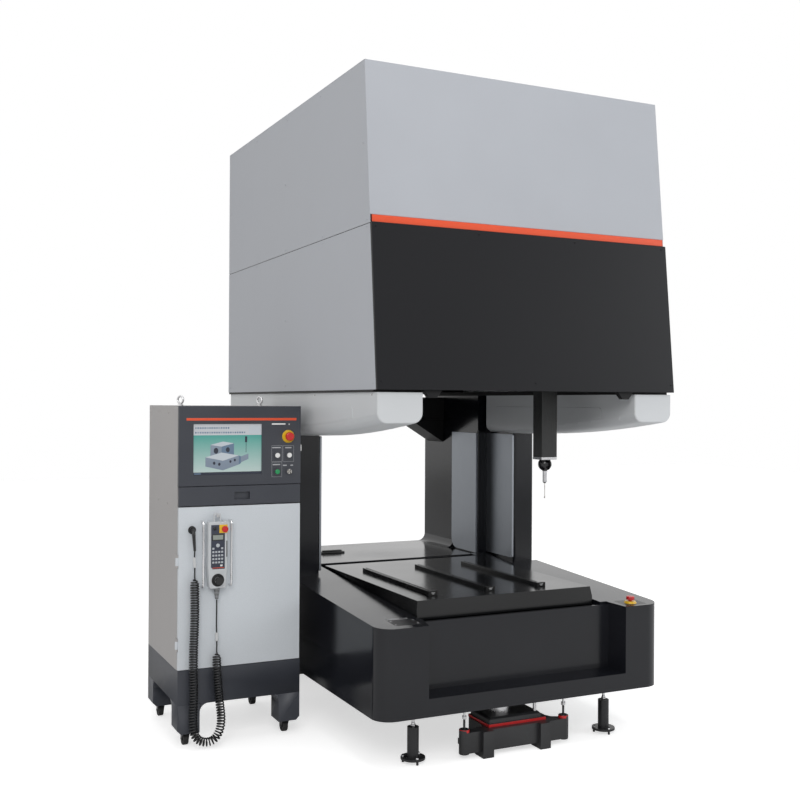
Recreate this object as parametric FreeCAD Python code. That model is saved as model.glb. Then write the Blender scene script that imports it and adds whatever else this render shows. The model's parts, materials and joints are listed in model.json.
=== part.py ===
import FreeCAD, Part
import math
import os
from FreeCAD import Vector

# In-line coordinate measuring machine with its control cabinet and hand pendant.
# Millimetres; X runs across the machine, Y from its front to its back, Z up from the floor.
# The machine is drawn about its own middle plane x = 0, and the cabinet from its own front
# left corner. At the end both are moved so that the origin is the floor centre of the set.

# ---------------------------------------------------------------- driving dimensions
# Fits
TOUCH_GAP = 0.3            # between parts of two moving bodies that pass close by
PIN_GAP = 0.05             # radial running clearance of a pin in its bore

# Base casting
BASE_WIDTH = 1414
BASE_SHIFT = 11            # its middle lies this far right of the machine's middle plane
BASE_FRONT = -86
BASE_REAR = 1885
BASE_BOTTOM = 217
BASE_FRONT_TOP = 590       # height of the sloping side rails at the very front
BASE_RAIL_REAR_TOP = 660   # and where they end beside the rear deck
BASE_CORNER = 78
BASE_SKIN = 30
BASE_RIB = 18
BASE_POCKET_TOP = 530
RECESS_WIDTH = 990         # toe recess in the front face
RECESS_SHIFT = 22
RECESS_DEPTH = 99
RECESS_DRAFT = 21          # each side leans in by this much towards the back
RECESS_SILL = 302
RECESS_LIP_DROP = 10       # the sill falls by this much towards the front
RECESS_WALL = 18           # wall between the recess and the table well
RECESS_WALL_TOP = 585
SEAT_HEIGHT = 633          # machined seats of the columns and of the rear deck
DECK_THICKNESS = 22
DECK_GAP = 93              # from the table's rear edge to the deck

# Measuring table
TABLE_WIDTH = 886
TABLE_LENGTH = 1058
TABLE_FRONT = 84
TABLE_TOP = 660
TABLE_HEIGHT = 80
TABLE_FLARE = 10           # how far the skirt spreads outwards at its foot
TABLE_WELL_GAP = 8
TABLE_PLATE = 34           # thickness above the pockets
TABLE_RIM = 20             # thickness of the skirt
TABLE_RIB = 40
TABLE_PAD_HEIGHT = 20
TABLE_PAD_RADIUS = 45
RAIL_XS = (-325, -36, 232)  # the three fixture rails on the table
FIXTURE_RAIL_WIDTH = 26
FIXTURE_RAIL_HEIGHT = 16
FIXTURE_RAIL_LENGTH = 712
FIXTURE_RAIL_FRONT = 190

# Columns
COLUMN_HALF_OUTER = BASE_WIDTH / 2 - BASE_SHIFT   # flush with the base's left side
COLUMN_WIDTH_RIGHT = 121   # width of the narrow front part of each column
COLUMN_WIDTH_LEFT = 150
COLUMN_REAR_INNER = COLUMN_HALF_OUTER - 188
COLUMN_FRONT = 957
COLUMN_TOP = 1345
COLUMN_SKIN = 26
COLUMN_CORNER = 14
COLUMN_FOOT_FILLET = 45
TRIM_SHEET = 10
TRIM_REAR_END = 1520
TRIM_FOOT_GAP = 6

# Side beams, their covers and the guide rails on them
BEAM_INNER = COLUMN_HALF_OUTER - 136
BEAM_OUTER = COLUMN_HALF_OUTER + 4
BEAM_FRONT = -95
BEAM_TOP = 1540
BEAM_FLANGE = 20
BEAM_HAUNCH_RADIUS = 7576  # the underside rises towards the front on this arc
BEAM_POCKETS = 7
BEAM_RIB = 40
COVER_OUTER = COLUMN_HALF_OUTER + 31
COVER_INNER = COVER_OUTER - 202
COVER_SHIFT_RIGHT = 8      # the right-hand cover stands this much further out
COVER_FRONT = -122
COVER_SHEET = 3
COVER_CLEARANCE = 7        # below the beam
COVER_EDGE = 44            # radius of the folded lower edges
COVER_NOSE = 7             # radius round the front face
COVER_REAR_END = 1185      # where the inner wall stops short of the column
EMBOSS_FRONT = 126         # raised field on each side wall
EMBOSS_REAR = 1100
EMBOSS_TOP = 1480
EMBOSS_RELIEF = 1.5
CROSS_BEAM_FRONT = 1640
CROSS_BEAM_DEPTH = 215
CROSS_BEAM_WALL = 16
CROSS_BEAM_BOTTOM = 1400
CROSS_BEAM_TOP = 1530
GUSSET_REACH = 220         # corner gussets under the cross beam
GUSSET_DROP = 134
GUIDE_WIDTH = 34
GUIDE_HEIGHT = 30
Y_GUIDE_X = COLUMN_HALF_OUTER - 71
Y_GUIDE_START = 120
Y_GUIDE_END = 1590
BLOCK_WIDTH = 100
BLOCK_LENGTH = 110
BLOCK_STANDOFF = 6         # guide block above the face that carries its rail
BLOCK_TOP = 48             # guide block's mounting face above the same face

# Enclosure
ENCLOSURE_WIDTH = 2 * (COLUMN_HALF_OUTER + 41)
ENCLOSURE_TOP = 2889
ENCLOSURE_BOTTOM = 1550
ENCLOSURE_REAR = 1895
FRONT_SLOPE = 0.097        # the front leans forward by this much for each unit of drop
PANEL_SHEET = 3
PANEL_SEAM = 2217
PANEL_JOINT = 2            # open joint between two panels
FRAME_TUBE = 40
FRAME_MID_POST = 930
DARK_PANEL_TOP = 2219
DARK_PANEL_PROUD = 12
LUG_INNER = 440            # black lugs that hang behind the dark panel's lower edge
LUG_GAP = 3                # from the covers' inner walls
LUG_OUTER = COVER_INNER - LUG_GAP
LUG_BOTTOM = 1518
LUG_CUT = 24
LUG_DEPTH = 26
STRIPE_BOTTOM = 2221
STRIPE_HEIGHT = 29
STRIPE_PROUD = 3
STRIPE_END_GAP = 8

# Moving bridge, carriage and ram; the ram is drawn where it stands at rest
RAM_X = 290
RAM_Y = 230
RAM_BOTTOM = 1250
RAM_LENGTH = 1250
RAM_WIDTH = 84
RAM_DEPTH = 76
RAM_BORE = 50
RAM_CORNER = 3
END_PLATE = 12
CARRIAGE_BOTTOM = 1640
CARRIAGE_HEIGHT = 560
CARRIAGE_WIDTH = 210
CARRIAGE_PLATE = 30
CARRIAGE_CHEEK = 22
CARRIAGE_RAM_GAP = 16
Z_GUIDE_WIDTH = 23
Z_GUIDE_HEIGHT = 18
Z_BLOCK_WIDTH = 48
Z_BLOCK_LENGTH = 80
Z_BLOCK_TOP = 30
BRIDGE_HALF_WIDTH = COLUMN_HALF_OUTER - 11
BRIDGE_DEPTH = 200
BRIDGE_BOTTOM = 1760
BRIDGE_HEIGHT = 240
BRIDGE_SKIN = 20
BRIDGE_FOOT_LENGTH = 420
BRIDGE_FOOT_PLATE = 30
BRIDGE_LEG_WALL = 24
X_GUIDE_HALF_LENGTH = 640
X_GUIDE_INSET = 45         # from the beam's top and bottom edges
MOTOR_WIDTH = 110
MOTOR_RADIUS = 44
GEARBOX_HEIGHT = 120
MOTOR_LENGTH = 170
CARRIAGE_RIM = 60          # metal left round the carriage's windows

# Probe head
HEAD_DROP = 34             # from the ram's end to the ball centre
HEAD_RADIUS = 31.5
NECK_RADIUS = 26
HEAD_SLOT = 26.4
HEAD_HUB_RADIUS = 17
HEAD_BRIDGE = 3
PIVOT_RADIUS = 4
PROBE_RADIUS = 11
PROBE_LENGTH = 57
STYLUS_LENGTH = 70
STYLUS_RADIUS = 2
STYLUS_BALL = 4

# Floor supports
FOOT_X = BASE_WIDTH / 2 - 222
FOOT_YS = (35, 1790)
FOOT_BODY_RADIUS = 24.5
FOOT_BODY_BOTTOM = 20
FOOT_BODY_TOP = 150
FOOT_FLANGE_RADIUS = 52
FOOT_FLANGE = 10
FOOT_ROD_RADIUS = 6
FOOT_BOLT_RADIUS = 5
FOOT_BOLTS = 3
FOOT_BOSS_RADIUS = 42
CRADLE_LENGTH = 545        # isolators: a front beam with round end posts
CRADLE_X = -18
CRADLE_FRONT = -36
CRADLE_BEAM = 45
CRADLE_BOTTOM = 24
CRADLE_TOP = 112
CRADLE_POST_RISE = 13
CRADLE_DEPTH = 209
CRADLE_FEET = (-154, 132)  # from the cradle's middle
CRADLE_FOOT_WIDTH = 52
CRADLE_FOOT_DEPTH = 76
CRADLE_FOOT_PROUD = 20
SPRING_SPAN = (-132, 196)  # spring housing behind the beam, from the cradle's middle
SPRING_FLARE = 42
SPRING_PLATE = 12
SPRING_PLATE_SPAN = (-126, 162)
SPRING_HEAD_TOP = 150
LEVEL_SCREW_RADIUS = 5
LEVEL_NUT = 11
LEVEL_TAB = 90
REAR_CRADLE_X = 400
REAR_CRADLE_Y = 1480

# Stop switch and plates on the base's front corners
STOP_X = BASE_WIDTH / 2 + BASE_SHIFT - 131
STOP_Y = -25
DECK_PLATE_SIZE = 118
DECK_PLATE = 5
SERVICE_PLATE_X = 151 - COLUMN_HALF_OUTER
SERVICE_PLATE_Y = 0
COLLAR_RADIUS = 29
COLLAR_HEIGHT = 8
STOP_CAP_RADIUS = 19
STOP_CAP_HEIGHT = 15
STOP_STEM_RADIUS = 8
STOP_STEM_LENGTH = 20
STOP_TRAVEL = 6
STOP_CAP_GAP = 6.5

# Control cabinet, in its own frame
CABINET_WIDTH = 556
CABINET_CLEARANCE = 88     # from the machine's side
CABINET_X = -COLUMN_HALF_OUTER - CABINET_CLEARANCE - CABINET_WIDTH   # its front left corner
CABINET_Y = 588
CABINET_DEPTH = 575
CABINET_HEIGHT = 1480
CABINET_SHEET = 3
DOOR_SHEET = 18
DOOR_SET_BACK = 20         # the shell's front edge behind the door's face
DOOR_GAP = 2
PLINTH_TOP = 340
DRAWER_BOTTOM = CABINET_HEIGHT - 436
PANEL_BOTTOM = CABINET_HEIGHT - 351
LEG_WIDTH = 98
LEG_DEPTH = 105
LEG_BOTTOM = 65
ARCH_TOP = 190
ARCH_CORNER = 38
LEG_CHAMFER = 16
SCREEN_LEFT = 64
SCREEN_WIDTH = 308
SCREEN_BOTTOM = PANEL_BOTTOM + 50
SCREEN_HEIGHT = 222
SCREEN_SET_BACK = 4
SCREEN_DEPTH = 34
CABINET_STOP = (CABINET_WIDTH - 60, CABINET_HEIGHT - 136)
LAMP = (CABINET_WIDTH - 58, CABINET_HEIGHT - 81)
LAMP_RADIUS = 4
BUTTON_COLUMNS = (CABINET_WIDTH - 112, CABINET_WIDTH - 56)
BUTTON_ROWS = (PANEL_BOTTOM + 131, PANEL_BOTTOM + 58)
BUTTONS = {"white_button_left": (BUTTON_COLUMNS[0], BUTTON_ROWS[0]),
           "white_button_right": (BUTTON_COLUMNS[1], BUTTON_ROWS[0]),
           "green_button": (BUTTON_COLUMNS[0], BUTTON_ROWS[1])}
KEY_SWITCH = (BUTTON_COLUMNS[1], BUTTON_ROWS[1])
BUTTON_RADIUS = 11
BUTTON_PROUD = 9
BUTTON_STEM = 22
BEZEL_RADIUS = 15.5
BEZEL_HEIGHT = 4
BUTTON_TRAVEL = 4
DRAWER_DEPTH = 380
DRAWER_SIDE = 1.5
DRAWER_WALL_HEIGHT = 46
RUNNER_WIDTH = 12
RUNNER_HEIGHT = 30
PULL_LEFT = 248
PULL_WIDTH = 70
PULL_BOTTOM = DRAWER_BOTTOM + 25
PULL_HEIGHT = 33
PULL_DEPTH = 14
KEYBOARD_WIDTH = 440
KEYBOARD_DEPTH = 150
KEYBOARD_HEIGHT = 14
HINGE_HEIGHTS = (PLINTH_TOP + 110, DRAWER_BOTTOM - 235)
HINGE_PIN = 3
HINGE_KNUCKLE = 6.5
HINGE_LENGTH = 34
HINGE_OUT = 4              # hinge axis outside the cabinet's side
HINGE_IN = 7               # and behind the door's face
EYE_SPOTS = ((24, 74), (CABINET_WIDTH - 26, CABINET_DEPTH - 55))
EYE_RING = 16
EYE_WIRE = 4.5
EYE_SHOULDER = 12

# Casters
CASTER_INSET_X = 50
CASTER_INSET_Y = 52
CASTER_TRAIL = 18
WHEEL_RADIUS = 28
WHEEL_WIDTH = 24
AXLE_RADIUS = 4
FORK_WALL = 3
FORK_PLATE = 5
FORK_RADIUS = 19

# Hand pendant on the cabinet door
PENDANT_X = 163
PENDANT_TOP = DRAWER_BOTTOM - 65
PENDANT_BOTTOM = PENDANT_TOP - 289
PENDANT_WIDTH = 86
PENDANT_THICKNESS = 34
PENDANT_OFF_DOOR = 9
PENDANT_CORNER = 12
BAIL_HEIGHT = 38
BAIL_WIDTH = 34
BAIL_WIRE = 3.5
HOOK_RADIUS = 5
GUARD_OUT = 62
GUARD_RADIUS = 5
GUARD_STAND_OFF = 34
PENDANT_STOP_SPOT = (29, PENDANT_TOP - 32)   # from the pendant's middle, and height
PENDANT_STOP_RADIUS = 14
PENDANT_STOP_HEIGHT = 12
PENDANT_STOP_TRAVEL = 3
JOYSTICK_HEIGHT = PENDANT_BOTTOM + 37
JOYSTICK_RADIUS = 20
JOYSTICK_STICK = 6
JOYSTICK_LENGTH = 24
RELIEF_LENGTH = 48
RELIEF_TOP_RADIUS = 13
CORD_RADIUS = 3.5
COIL_RADIUS = 20
SOCKET = (59, PENDANT_TOP - 35)
SOCKET_RADIUS = 17

# Cord routes: points chosen by hand, in the cabinet's frame
RELIEF_END = PENDANT_BOTTOM - RELIEF_LENGTH - TOUCH_GAP
LEAD_TO_COIL = ((163, -26, RELIEF_END), (163, -26, RELIEF_END - 42), (162, -27, 528), (164, -28, 470),
                (163, -30, 414))
COIL_ROUTE = ((163, -30, 414), (165, -29, 330), (178, -27, 195), (188, -26, 120), (180, -26, 66),
              (152, -26, 30), (106, -26, 27), (70, -25, 54), (60, -25, 110), (66, -25, 240),
              (61, -25, 400), (69, -25, 570), (65, -26, 741))
LEAD_TO_SOCKET = ((65, -26, 741), (66, -27, 785), (62, -29, 826), (64, -31, SOCKET[1] - 87))

# ---------------------------------------------------------------- derived places
DECK_FRONT = TABLE_FRONT + TABLE_LENGTH + DECK_GAP
RECESS_BACK = BASE_FRONT + RECESS_DEPTH
WELL_HALF = TABLE_WIDTH / 2 + TABLE_FLARE + TABLE_WELL_GAP
WELL_FLOOR = TABLE_TOP - TABLE_HEIGHT - TABLE_PAD_HEIGHT
DECK_TOP = SEAT_HEIGHT + DECK_THICKNESS
FLANGE_TOP = BEAM_TOP + BEAM_FLANGE
HALF = ENCLOSURE_WIDTH / 2
COLUMN_INNER_RIGHT = COLUMN_HALF_OUTER - COLUMN_WIDTH_RIGHT
COLUMN_INNER_LEFT = COLUMN_HALF_OUTER - COLUMN_WIDTH_LEFT   # distance left of the middle plane
RAM_BACK = RAM_Y + RAM_DEPTH / 2
CARRIAGE_FACE = RAM_BACK + Z_BLOCK_TOP
X_FACE = CARRIAGE_FACE + CARRIAGE_PLATE + BLOCK_TOP
HEAD_Z = RAM_BOTTOM - HEAD_DROP
PENDANT_BACK = -PENDANT_OFF_DOOR
PENDANT_FACE = PENDANT_BACK - PENDANT_THICKNESS

nodes = {}


# ---------------------------------------------------------------- shapes
def block(x, y, z):
    """Box between two corners, given as (low, high) along each axis."""
    return Part.makeBox(x[1] - x[0], y[1] - y[0], z[1] - z[0], Vector(x[0], y[0], z[0]))


def rod(radius, start, end):
    """Round bar between two points."""
    start, end = Vector(*start), Vector(*end)
    return Part.makeCylinder(radius, (end - start).Length, start, end - start)


def on_plane(plane, u, v, level):
    if plane == "xy":
        return Vector(u, v, level)
    if plane == "xz":
        return Vector(u, level, v)
    return Vector(level, u, v)


def outline(plane, corners, level):
    """Closed face through corners (u, v) or (u, v, radius), each rounded by its own radius."""
    points = [on_plane(plane, corner[0], corner[1], level) for corner in corners]
    radii = [corner[2] if len(corner) > 2 else 0 for corner in corners]
    stops = []
    for i, corner in enumerate(points):
        back = (points[i - 1] - corner).normalize()
        ahead = (points[(i + 1) % len(points)] - corner).normalize()
        if radii[i] == 0:
            stops.append((corner, None, corner))
            continue
        half_turn = back.getAngle(ahead) / 2
        reach = radii[i] / math.tan(half_turn)
        inward = (back + ahead).normalize()
        middle = corner + inward * (radii[i] / math.sin(half_turn) - radii[i])
        stops.append((corner + back * reach, middle, corner + ahead * reach))
    edges = []
    for i, (start, middle, end) in enumerate(stops):
        previous = stops[i - 1][2]
        if (start - previous).Length > 1e-6:
            edges.append(Part.LineSegment(previous, start).toShape())
        if middle is not None:
            edges.append(Part.Arc(start, middle, end).toShape())
    return Part.Face(Part.Wire(edges))


def prism(plane, corners, low, high):
    """Outline pulled from one level to another, square to its plane."""
    return outline(plane, corners, low).extrude(on_plane(plane, 0, 0, high - low))


def rectangle(u, v, radius=0):
    return [(u[0], v[0], radius), (u[1], v[0], radius), (u[1], v[1], radius), (u[0], v[1], radius)]


def fused(shapes):
    """One solid from several that touch."""
    first, *rest = shapes
    return first.fuse(rest).removeSplitter() if rest else first


def group(shapes):
    return Part.makeCompound(list(shapes))


def mirrored(shape):
    return shape.mirror(Vector(0, 0, 0), Vector(1, 0, 0))


def both_sides(shape):
    return [shape, mirrored(shape)]


def front_y(z):
    """The sloping front plane of the enclosure at a height."""
    return -(ENCLOSURE_TOP - z) * FRONT_SLOPE


def lean_plate(x, z, outside, inside):
    """Plate along the sloping front, between two distances from its plane."""
    corners = [(front_y(z[0]) - outside, z[0]), (front_y(z[0]) + inside, z[0]),
               (front_y(z[1]) + inside, z[1]), (front_y(z[1]) - outside, z[1])]
    return prism("yz", corners, x[0], x[1])


def path(points):
    """Straight runs joined by tangent arcs as large as the two runs allow."""
    points = [Vector(*point) for point in points]
    edges = []
    radii = []
    start = points[0]
    for before, corner, after in zip(points, points[1:], points[2:]):
        back, ahead = before - corner, after - corner
        reach = 0.45 * min(back.Length, ahead.Length)
        back.normalize()
        ahead.normalize()
        half_turn = (math.pi - back.getAngle(ahead)) / 2
        radius = reach / math.tan(half_turn)
        inward = (back + ahead).normalize()
        middle = corner + inward * (radius / math.cos(half_turn) - radius)
        edges.append(Part.LineSegment(start, corner + back * reach).toShape())
        edges.append(Part.Arc(corner + back * reach, middle, corner + ahead * reach).toShape())
        start = corner + ahead * reach
        radii.append(round(radius))
    edges.append(Part.LineSegment(start, points[-1]).toShape())
    print("bend radii", radii)
    return Part.Wire(edges)


def tube(radius, points):
    """Round cord along a route."""
    spine = path(points)
    direction = Vector(*points[1]) - Vector(*points[0])
    section = Part.Wire(Part.makeCircle(radius, Vector(*points[0]), direction))
    swept = spine.makePipeShell([section], True, True)
    expected = math.pi * radius ** 2 * spine.Length
    print("cord volume over section times length", round(swept.Volume / expected, 4))
    return swept


# ---------------------------------------------------------------- base, deck and table
def rail_height(y):
    """Top of the base's sloping side rails."""
    slope = (BASE_RAIL_REAR_TOP - BASE_FRONT_TOP) / (DECK_FRONT - BASE_FRONT)
    return BASE_FRONT_TOP + slope * (y - BASE_FRONT)


def base_sides():
    return BASE_SHIFT - BASE_WIDTH / 2, BASE_SHIFT + BASE_WIDTH / 2


def toe_recess():
    """Pocket in the front face: its sides lean in towards the back and its sill falls forwards."""
    left, right = RECESS_SHIFT - RECESS_WIDTH / 2, RECESS_SHIFT + RECESS_WIDTH / 2
    plan = [(left, BASE_FRONT), (right, BASE_FRONT), (right - RECESS_DRAFT, RECESS_BACK),
            (left + RECESS_DRAFT, RECESS_BACK)]
    profile = [(BASE_FRONT - 1, RECESS_SILL - RECESS_LIP_DROP), (RECESS_BACK, RECESS_SILL),
               (RECESS_BACK, DECK_TOP), (BASE_FRONT - 1, DECK_TOP)]
    pocket = prism("xy", plan, RECESS_SILL - RECESS_LIP_DROP, DECK_TOP)
    return pocket.common(prism("yz", profile, left, right))


def make_base():
    """Ribbed casting, open below, with a toe recess, a table well and machined seats."""
    left, right = base_sides()
    profile = [(BASE_FRONT, BASE_BOTTOM), (BASE_FRONT, BASE_FRONT_TOP),
               (DECK_FRONT, BASE_RAIL_REAR_TOP), (DECK_FRONT, SEAT_HEIGHT),
               (BASE_REAR, SEAT_HEIGHT), (BASE_REAR, BASE_BOTTOM)]
    plan = [(left, BASE_FRONT, BASE_CORNER), (right, BASE_FRONT, BASE_CORNER),
            (right, BASE_REAR, BASE_CORNER / 2), (left, BASE_REAR, BASE_CORNER / 2)]
    body = prism("yz", profile, left, right)
    body = body.common(prism("xy", plan, BASE_BOTTOM, ENCLOSURE_BOTTOM))
    well_front = RECESS_BACK + RECESS_WALL
    above = BASE_RAIL_REAR_TOP + 1
    well = block((-WELL_HALF, WELL_HALF), (well_front, DECK_FRONT), (WELL_FLOOR, above))
    draft = RECESS_WIDTH / 2 - RECESS_DRAFT
    lowered = block((RECESS_SHIFT - draft, RECESS_SHIFT + draft), (RECESS_BACK, well_front),
                    (RECESS_WALL_TOP, above))
    seats = [block(side, (COLUMN_FRONT, BASE_REAR), (SEAT_HEIGHT, DECK_TOP + 20))
             for side in ((COLUMN_INNER_RIGHT, right), (left, -COLUMN_INNER_LEFT))]
    body = body.cut([well, toe_recess(), lowered] + seats).cut(base_pockets())
    pads = [rod(TABLE_PAD_RADIUS, (x, y, WELL_FLOOR), (x, y, WELL_FLOOR + TABLE_PAD_HEIGHT))
            for x, y in table_pads()]
    bosses = [rod(FOOT_BOSS_RADIUS, (x, FOOT_YS[1], BASE_BOTTOM), (x, FOOT_YS[1], BASE_POCKET_TOP))
              for x in (-FOOT_X, FOOT_X)]
    return fused([body] + pads + bosses)


def base_pockets():
    """Blind pockets from below that leave the casting's skins and ribs."""
    columns, rows = 5, 7
    start = RECESS_BACK + BASE_SKIN
    width = (BASE_WIDTH - 2 * BASE_SKIN - (columns - 1) * BASE_RIB) / columns
    length = (BASE_REAR - BASE_SKIN - start - (rows - 1) * BASE_RIB) / rows
    pockets = []
    for column in range(columns):
        x = base_sides()[0] + BASE_SKIN + column * (width + BASE_RIB)
        for row in range(rows):
            y = start + row * (length + BASE_RIB)
            pockets.append(block((x, x + width), (y, y + length), (BASE_BOTTOM, BASE_POCKET_TOP)))
    return pockets


def table_pads():
    """Three-point seating of the table: two at the front and one at the rear."""
    inset = TABLE_WIDTH / 2 - 110
    front, rear = TABLE_FRONT + 130, TABLE_FRONT + TABLE_LENGTH - 130
    return ((-inset, front), (inset, front), (0, rear))


def make_table():
    """Table plate with a skirt that spreads towards its foot, pocketed below."""
    half, rear = TABLE_WIDTH / 2, TABLE_FRONT + TABLE_LENGTH
    foot = TABLE_TOP - TABLE_HEIGHT
    lip = 18
    wide, fore = half + TABLE_FLARE, TABLE_FRONT - TABLE_FLARE
    across = [(-wide, foot), (wide, foot), (wide, foot + lip), (half, TABLE_TOP),
              (-half, TABLE_TOP), (-wide, foot + lip)]
    along = [(fore, foot), (rear, foot), (rear, TABLE_TOP), (TABLE_FRONT, TABLE_TOP),
             (fore, foot + lip)]
    corners = rectangle((-wide, wide), (fore, rear), 10)
    skirt = prism("xz", across, fore, rear).common([prism("yz", along, -wide, wide)])
    skirt = skirt.common([prism("xy", corners, foot, TABLE_TOP)])
    inner_half = half - TABLE_RIM
    ceiling = TABLE_TOP - TABLE_PLATE
    length = (TABLE_LENGTH - 2 * TABLE_RIM - 3 * TABLE_RIB) / 4
    cuts = []
    for x in (-inner_half, TABLE_RIB / 2):
        for row in range(4):
            y = TABLE_FRONT + TABLE_RIM + row * (length + TABLE_RIB)
            cuts.append(block((x, x + inner_half - TABLE_RIB / 2), (y, y + length), (foot, ceiling)))
    pads = [rod(TABLE_PAD_RADIUS + 8, (x, y, foot), (x, y, ceiling)) for x, y in table_pads()]
    return skirt.cut(cuts).fuse(pads).removeSplitter()


def make_fixture_rails():
    """Three T-slotted rails, each with a stop block at its front end."""
    rails = []
    top = TABLE_TOP + FIXTURE_RAIL_HEIGHT
    rear = FIXTURE_RAIL_FRONT + FIXTURE_RAIL_LENGTH
    for x in RAIL_XS:
        wide = FIXTURE_RAIL_WIDTH / 2
        slot, tee, lip = wide * 0.25, wide * 0.55, 4
        profile = [(x - wide, TABLE_TOP), (x + wide, TABLE_TOP), (x + wide, top, 2), (x + slot, top),
                   (x + slot, top - lip), (x + tee, top - lip), (x + tee, top - 2 * lip),
                   (x - tee, top - 2 * lip), (x - tee, top - lip), (x - slot, top - lip),
                   (x - slot, top), (x - wide, top, 2)]
        rails.append(prism("xz", profile, FIXTURE_RAIL_FRONT, rear))
        stop = block((x - wide - 9, x + wide + 9), (FIXTURE_RAIL_FRONT - 24, FIXTURE_RAIL_FRONT),
                     (TABLE_TOP, top + 4))
        rails.append(stop.makeFillet(3, [edge for edge in stop.Edges if edge.BoundBox.ZMin > top]))
    return group(rails)


def make_deck():
    """Rear deck plate between the columns."""
    half = COLUMN_REAR_INNER - 1
    plate = block((-half, half), (DECK_FRONT, BASE_REAR), (SEAT_HEIGHT, DECK_TOP))
    edges = [edge for edge in plate.Edges if edge.BoundBox.ZMin > DECK_TOP - 1
             and edge.BoundBox.YMax < DECK_FRONT + 1]
    return plate.makeChamfer(4, edges)


# ---------------------------------------------------------------- columns and beams
def column_plan(inner, grow=0):
    """Outline of a right-hand column whose narrow front part starts at x = inner."""
    outer, front, rear = COLUMN_HALF_OUTER + grow, COLUMN_FRONT - grow, BASE_REAR
    narrow, wide = inner - grow, COLUMN_REAR_INNER - grow
    step = DECK_FRONT - grow
    return [(narrow, front, COLUMN_CORNER), (outer, front, COLUMN_CORNER), (outer, rear, COLUMN_CORNER),
            (wide, rear), (wide, step, 6), (narrow, step)]


def make_column(inner):
    """Column: an L in plan, pocketed from below, with a cheek that rises beside the beam."""
    body = prism("xy", column_plan(inner), SEAT_HEIGHT, COLUMN_TOP)
    skin, ceiling = COLUMN_SKIN, COLUMN_TOP - COLUMN_SKIN
    length = (BASE_REAR - DECK_FRONT - 4 * skin) / 3
    pockets = [block((inner + skin, COLUMN_HALF_OUTER - skin),
                     (COLUMN_FRONT + skin, DECK_FRONT - skin / 2), (SEAT_HEIGHT, ceiling))]
    for row in range(3):
        y = DECK_FRONT + skin + row * (length + skin)
        pockets.append(block((COLUMN_REAR_INNER + skin, COLUMN_HALF_OUTER - skin), (y, y + length),
                             (SEAT_HEIGHT, ceiling)))
    cheek = block((COLUMN_REAR_INNER, BEAM_INNER), (DECK_FRONT, BASE_REAR), (COLUMN_TOP, BEAM_TOP))
    return fused([body.cut(pockets), cheek])


def make_column_foot():
    """Curved fillet strip where the column's inner face meets the deck."""
    x, radius = COLUMN_REAR_INNER, COLUMN_FOOT_FILLET
    strip = block((x - radius, x), (TRIM_REAR_END, BASE_REAR), (DECK_TOP, DECK_TOP + radius))
    return strip.cut(rod(radius, (x - radius, TRIM_REAR_END - 1, DECK_TOP + radius),
                         (x - radius, BASE_REAR + 1, DECK_TOP + radius)))


def make_trims(inner):
    """Two thin panels on the column's inner faces."""
    high = COLUMN_TOP - 15
    front_low, low = BASE_RAIL_REAR_TOP + TRIM_FOOT_GAP, DECK_TOP + TRIM_FOOT_GAP
    front = prism("yz", rectangle((COLUMN_FRONT + 5, DECK_FRONT), (front_low, high), 6),
                  inner - TRIM_SHEET, inner)
    corners = [(DECK_FRONT + 3, low), (TRIM_REAR_END, low, 60), (TRIM_REAR_END, high),
               (DECK_FRONT + 3, high)]
    rear = prism("yz", corners, COLUMN_REAR_INNER - TRIM_SHEET, COLUMN_REAR_INNER)
    return [front, rear]


def haunch(front, bottom_drop):
    """Underside of a beam: level over the column, then an arc that rises to the front."""
    level = COLUMN_TOP - bottom_drop
    def height(y):
        return level + BEAM_HAUNCH_RADIUS - math.sqrt(BEAM_HAUNCH_RADIUS ** 2 - (COLUMN_FRONT - y) ** 2)
    middle = (front + COLUMN_FRONT) / 2
    arc = Part.Arc(Vector(0, front, height(front)), Vector(0, middle, height(middle)),
                   Vector(0, COLUMN_FRONT, level))
    return arc.toShape(), height(front), level


def beam_blank(front, rear, x, top, bottom_drop):
    arc, front_height, level = haunch(front, bottom_drop)
    points = [Vector(0, COLUMN_FRONT, level), Vector(0, rear, level), Vector(0, rear, top),
              Vector(0, front, top), Vector(0, front, front_height)]
    lines = [Part.LineSegment(a, b).toShape() for a, b in zip(points, points[1:])]
    face = Part.Face(Part.Wire([arc] + lines))
    face.translate(Vector(x[0], 0, 0))
    return face.extrude(Vector(x[1] - x[0], 0, 0))


def make_side_beam():
    """Right-hand beam: haunched web with cored bays on its inner side and a wide top flange."""
    beam = beam_blank(BEAM_FRONT, BASE_REAR - 5, (BEAM_INNER, BEAM_OUTER), BEAM_TOP, 0)
    bay = (BASE_REAR - BEAM_FRONT - (BEAM_POCKETS + 1) * BEAM_RIB) / BEAM_POCKETS
    bays = []
    for index in range(BEAM_POCKETS):
        y = BEAM_FRONT + BEAM_RIB + index * (bay + BEAM_RIB)
        floor = COLUMN_TOP + 25 if y > COLUMN_FRONT - bay else COLUMN_TOP + 95
        bays.append(prism("yz", rectangle((y, y + bay), (floor, BEAM_TOP - 25), 20),
                          BEAM_INNER - 1, BEAM_OUTER - 30))
    flange = block((COVER_INNER - 1, HALF - PANEL_SHEET),
                   (BEAM_FRONT, ENCLOSURE_REAR - PANEL_SHEET), (BEAM_TOP, FLANGE_TOP))
    return fused([beam.cut(bays), flange])


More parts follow.
